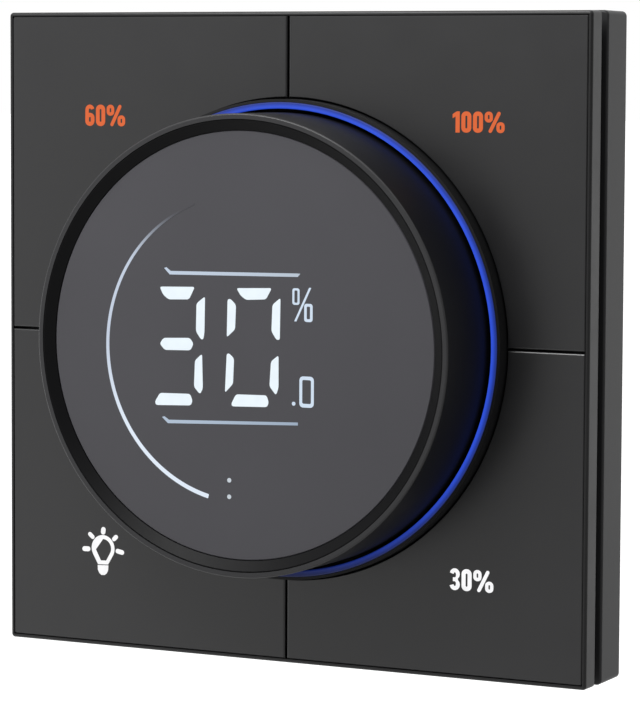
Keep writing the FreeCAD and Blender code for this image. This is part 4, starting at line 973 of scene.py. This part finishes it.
@dataclass
class Display:
    """What the display shows: two large figures, small signs, two rules, an arc and a colon."""

    height: float
    digits: tuple[Outline, ...] = (
        ((-11.84, 7.3), (-6.63, 7.43), (-7.48, 5.78), (-10.53, 5.68), (-11.35, 6.3)),
        ((-5.12, 6.25), (-6.37, 5.3), (-6.44, 1.68), (-5.7, 0.68), (-5.36, 0.69), (-5.2, 1.6)),
        ((-11.83, -0.12), (-11.27, 0.65), (-7.36, 0.8), (-6.8, 0.08), (-7.25, -0.81),
         (-11.08, -0.91)),
        ((-5.54, -1.19), (-6.58, -2.08), (-6.72, -5.52), (-5.83, -6.45), (-5.42, -5.69)),
        ((-12.53, -7.69), (-11.79, -6.54), (-7.31, -6.46), (-6.94, -7.35), (-7.2, -7.96),
         (-12.38, -8.15)),
        ((-0.5, 7.47), (4.62, 7.64), (3.79, 6.17), (0.89, 6.01), (0.09, 6.56)),
        ((-1.8, 5.98), (-1.37, 6.06), (-0.57, 5.32), (-0.7, 2.16), (-1.9, 1.09)),
        ((5.88, 6.44), (4.73, 5.51), (4.6, 2.11), (5.33, 1.06), (5.8, 1.07)),
        ((-1.9, -1.04), (-1.57, -0.96), (-0.84, -1.57), (-0.98, -4.87), (-2.15, -6.08)),
        ((5.63, -0.91), (4.55, -1.73), (4.34, -4.94), (5.29, -6.05), (5.64, -5.07)),
        ((-1.19, -7.39), (-0.53, -6.2), (3.91, -6.12), (4.24, -7.0), (3.99, -7.63),
         (-1.11, -7.78)),
    )
    upper_rule: Outline = ((-11.18, 9.74), (-10.84, 9.84), (-10.2, 9.38), (8.3, 9.62), (8.72, 9.6),
                           (8.35, 9.18), (-10.35, 8.92))
    lower_rule: Outline = ((-11.48, -9.66), (-11.12, -9.56), (-10.45, -9.98), (8.45, -9.38),
                           (8.45, -9.76), (-10.6, -10.44))
    percent_rings: tuple[Plate, ...] = (
        (7.6, 5.62, 8.62, 7.74, 0.3), (7.88, 5.9, 8.34, 7.46, 0.12),
        (9.3, 3.5, 10.5, 5.82, 0.34), (9.66, 3.86, 10.14, 5.46, 0.12))
    percent_bar: Outline = ((9.99, 7.86), (10.3, 7.86), (8.18, 3.52), (7.87, 3.52))
    tenths: tuple[Plate, ...] = ((8.66, -7.42, 10.72, -3.45, 0.5), (9.06, -6.94, 10.32, -3.9, 0.2))
    tenths_dot: Dot = (7.84, -7.0, 0.26)
    colon: tuple[Dot, ...] = ((-1.49, -17.37, 0.3), (-1.49, -19.51, 0.3))
    arc_x: float = 0.06
    arc_z: float = -0.45
    arc_radius: float = 19.73
    arc_start: float = 256.5
    arc_end: float = 110.0
    arc_width: float = 0.56
    arc_tail: float = 0.14
    arc_taper: float = 0.4
    arc_steps: int = 96

    def arc(self) -> list[Point]:
        """Outlines the arc, which thins towards its upper end.

        Returns:
            The closed outline.
        """
        outer, inner = [], []
        for step in range(self.arc_steps + 1):
            share = step / self.arc_steps
            angle = math.radians(self.arc_start + (self.arc_end - self.arc_start) * share)
            swell = (1 - share) ** self.arc_taper
            half = (self.arc_tail + (self.arc_width - self.arc_tail) * swell) / 2
            for side, points in ((half, outer), (-half, inner)):
                radius = self.arc_radius + side
                points.append((self.arc_x + radius * math.cos(angle),
                               self.arc_z + radius * math.sin(angle)))
        return outer + inner[::-1]

    def build(self) -> None:
        """Makes each lit group of the display as a piece of its own."""
        ink = Print(self.height)
        signs = SIGN_LIGHT.build()
        tenths = [rounded(*plate) for plate in self.tenths] + [disc(*self.tenths_dot)]
        groups = (
            ("display_digits", [soften(segment) for segment in self.digits], DIGIT_LIGHT.build()),
            ("display_arc", [self.arc()], ARC_LIGHT.build()),
            ("display_upper_rule", [self.upper_rule], UPPER_RULE_LIGHT.build()),
            ("display_lower_rule", [self.lower_rule], LOWER_RULE_LIGHT.build()),
            ("display_percent", [rounded(*plate) for plate in self.percent_rings], signs),
            ("display_percent_bar", [self.percent_bar], signs),
            ("display_tenths", tenths, signs),
            ("display_colon", [disc(*dot) for dot in self.colon], COLON_LIGHT.build()),
        )
        for name, shapes, light in groups:
            ink.outlines(name, shapes, "root", "display_face", light)


@dataclass
class LampSign:
    """The lamp sign on a key: a pear with a hole, a base and five rays."""

    x: float = -28.15
    z: float = -29.62
    outer: float = 1.8
    outer_turn: Span = (-32, 212)
    inner: float = 1.27
    inner_turn: Span = (-30, 90)
    neck: Outline = ((-29.02, -31.72), (-28.95, -31.86), (-27.37, -31.8), (-27.28, -31.66))
    hole_foot: Outline = ((-29.3, -29.85), (-28.5, -31.32), (-27.66, -31.28))
    base: Outline = ((-29.0, -31.98), (-27.32, -31.92), (-27.36, -32.55), (-27.55, -33.0),
                     (-27.9, -33.28), (-28.4, -33.3), (-28.75, -33.05), (-28.97, -32.6))
    rays: tuple[tuple[Outline, float], ...] = (
        (((-31.1, -29.88), (-30.5, -29.86)), 0.68),
        (((-30.22, -27.82), (-29.8, -28.17)), 0.6),
        (((-28.1, -27.05), (-28.14, -27.4)), 0.7),
        (((-26.1, -27.95), (-26.42, -28.25)), 0.6),
        (((-25.85, -29.86), (-25.15, -30.0)), 0.64))

    def outlines(self) -> list[Outline]:
        """Outlines the sign.

        Returns:
            The closed outlines of its parts.
        """
        pear = bow(self.x, self.z, self.outer, self.outer, *self.outer_turn, 32) + list(self.neck)
        hole = bow(self.x, self.z, self.inner, self.inner, *self.inner_turn, 16)
        rays = [stroke(path, width) for path, width in self.rays]
        return [pear, hole + list(self.hole_foot), self.base] + rays


@dataclass
class KeyMarks:
    """The lit marks on the four keys: three brightness figures and a lamp sign."""

    height: float
    sixty: Box = (-30.9, 27.72, -24.67, 30.6)
    full: Box = (23.83, 27.5, 31.1, 30.2)
    thirty: Box = (23.95, -31.45, 30.1, -28.6)

    def build(self) -> None:
        """Makes the four marks, each on its own key."""
        ink = Print(self.height)
        orange = ORANGE_INK.build()
        white = WHITE_INK.build()
        figures = Figures()
        marks = (
            ("mark_sixty", figures.write("60%", self.sixty), "key_upper_left", orange),
            ("mark_full", figures.write("100%", self.full), "key_upper_right", orange),
            ("mark_thirty", figures.write("30%", self.thirty), "key_lower_right", white),
            ("mark_lamp", LampSign().outlines(), "key_lower_left", white),
        )
        for name, shapes, key, light in marks:
            ink.outlines(name, shapes, key, "icon_guide", light)


@dataclass(frozen=True)
class Patch:
    """A part of the surround that is brighter or darker than the rest by a factor."""

    towards: Direction
    edge: float
    core: float
    factor: float


@dataclass
class Studio:
    """A pale floor, a surround with brighter and darker parts, and a soft light."""

    floor_height: float = -120.0
    floor_side: float = 20000.0
    low: float = 0.55
    high: float = 1.0
    rise: Span = (-0.7, 0.7)
    patches: tuple[Patch, ...] = (
        Patch((0.7, -0.62, -0.34), -0.05, 0.8, 0.14),
        Patch((-1.0, 0.0, -0.05), 0.75, 0.97, 0.35),
        Patch((0.35, -0.25, 0.9), 0.75, 0.95, 1.7),
    )
    back: Span = (1.0, 0.84)
    back_depth: Span = (0.0, 0.35)
    back_aside: Span = (0.0, 0.5)
    lamp_place: tuple[float, float, float] = (-60.0, -170.0, 200.0)
    lamp_side: float = 140.0
    lamp_power: float = 0.66

    def floor(self) -> None:
        """Lays the floor."""
        bpy.ops.object.select_all(action="DESELECT")
        bpy.ops.mesh.primitive_plane_add(size=self.floor_side * MM,
                                         location=(0.0, 0.0, self.floor_height * MM))
        plane = bpy.context.view_layer.objects.active
        plane.name = "floor"
        dress(plane, FLOOR.build())

    def world(self) -> None:
        """Sets the surround, whose brightness depends on its direction."""
        surround = bpy.data.worlds.new("surround")
        surround.use_nodes = True
        nodes = Nodes(surround.node_tree, "Generated")
        sky = nodes.tree.nodes["Background"]
        sky.inputs["Color"].default_value = (1.0, 1.0, 1.0, 1.0)
        glow = nodes.step(nodes.along(nodes.place, UP), self.rise, (self.low, self.high))
        for patch in self.patches:
            share = nodes.step(nodes.along(nodes.place, patch.towards), (patch.edge, patch.core),
                               (1.0, patch.factor))
            glow = nodes.combine("MULTIPLY", glow, share)
        behind = nodes.step(nodes.along(nodes.place, INWARD), self.back_depth)
        back = nodes.step(nodes.along(nodes.place, RIGHT), self.back_aside, self.back)
        blend = nodes.add("ShaderNodeMix")
        nodes.link(behind, blend.inputs["Factor"])
        nodes.link(glow, blend.inputs["A"])
        nodes.link(back, blend.inputs["B"])
        nodes.link(blend.outputs["Result"], sky.inputs["Strength"])
        bpy.context.scene.world = surround

    def lamp(self) -> None:
        """Hangs the square soft light, which points at the object."""
        place = Vector(self.lamp_place) * MM
        data = bpy.data.lights.new("key light", "AREA")
        data.size = self.lamp_side * MM
        data.energy = self.lamp_power
        light = bpy.data.objects.new("key light", data)
        light.location = place
        light.rotation_euler = (-place).to_track_quat("-Z", "Y").to_euler()
        bpy.context.scene.collection.objects.link(light)

    def build(self) -> None:
        """Sets up the studio, shown without a film curve."""
        self.floor()
        self.world()
        self.lamp()
        bpy.context.scene.view_settings.view_transform = "Standard"


@dataclass
class Viewpoint:
    """The camera, where the photograph was taken from: place in millimetres, turns in degrees."""

    place: tuple[float, float, float] = (207.868, -404.993, 35.105)
    yaw: float = -27.2597
    pitch: float = 4.6889
    roll: float = 0.26595
    focal_pixels: float = 3393.97
    frame_pixels: float = 701.0
    sensor: float = 36.0
    near: float = 10.0
    far: float = 50000.0

    def build(self) -> None:
        """Places the camera and makes it the scene's own."""
        data = bpy.data.cameras.new("viewpoint")
        data.sensor_width = self.sensor
        data.lens = self.focal_pixels * self.sensor / self.frame_pixels
        data.clip_start = self.near * MM
        data.clip_end = self.far * MM
        turn = (Matrix.Rotation(math.radians(self.roll), 3, "Y")
                @ Matrix.Rotation(math.radians(self.pitch), 3, "X")
                @ Matrix.Rotation(math.radians(self.yaw), 3, "Z")).transposed()
        right, forward, up = turn.col[0], turn.col[1], turn.col[2]
        facing = Matrix((right, up, -forward)).transposed()
        camera = bpy.data.objects.new("viewpoint", data)
        camera.matrix_world = Matrix.Translation(Vector(self.place) * MM) @ facing.to_4x4()
        bpy.context.scene.collection.objects.link(camera)
        bpy.context.scene.camera = camera


def main() -> None:
    """Dresses the frame, adds the lit pieces and sets up studio and camera."""
    logging.basicConfig(level=logging.INFO, format="%(name)s: %(message)s")
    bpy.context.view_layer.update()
    dress_nodes()
    lens_front = -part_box("display_lens")[0].y / MM
    face = -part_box("key_upper_right")[0].y / MM
    Display(lens_front).build()
    KeyMarks(face).build()
    Studio().build()
    Viewpoint().build()


if __name__ == "__main__":
    main()
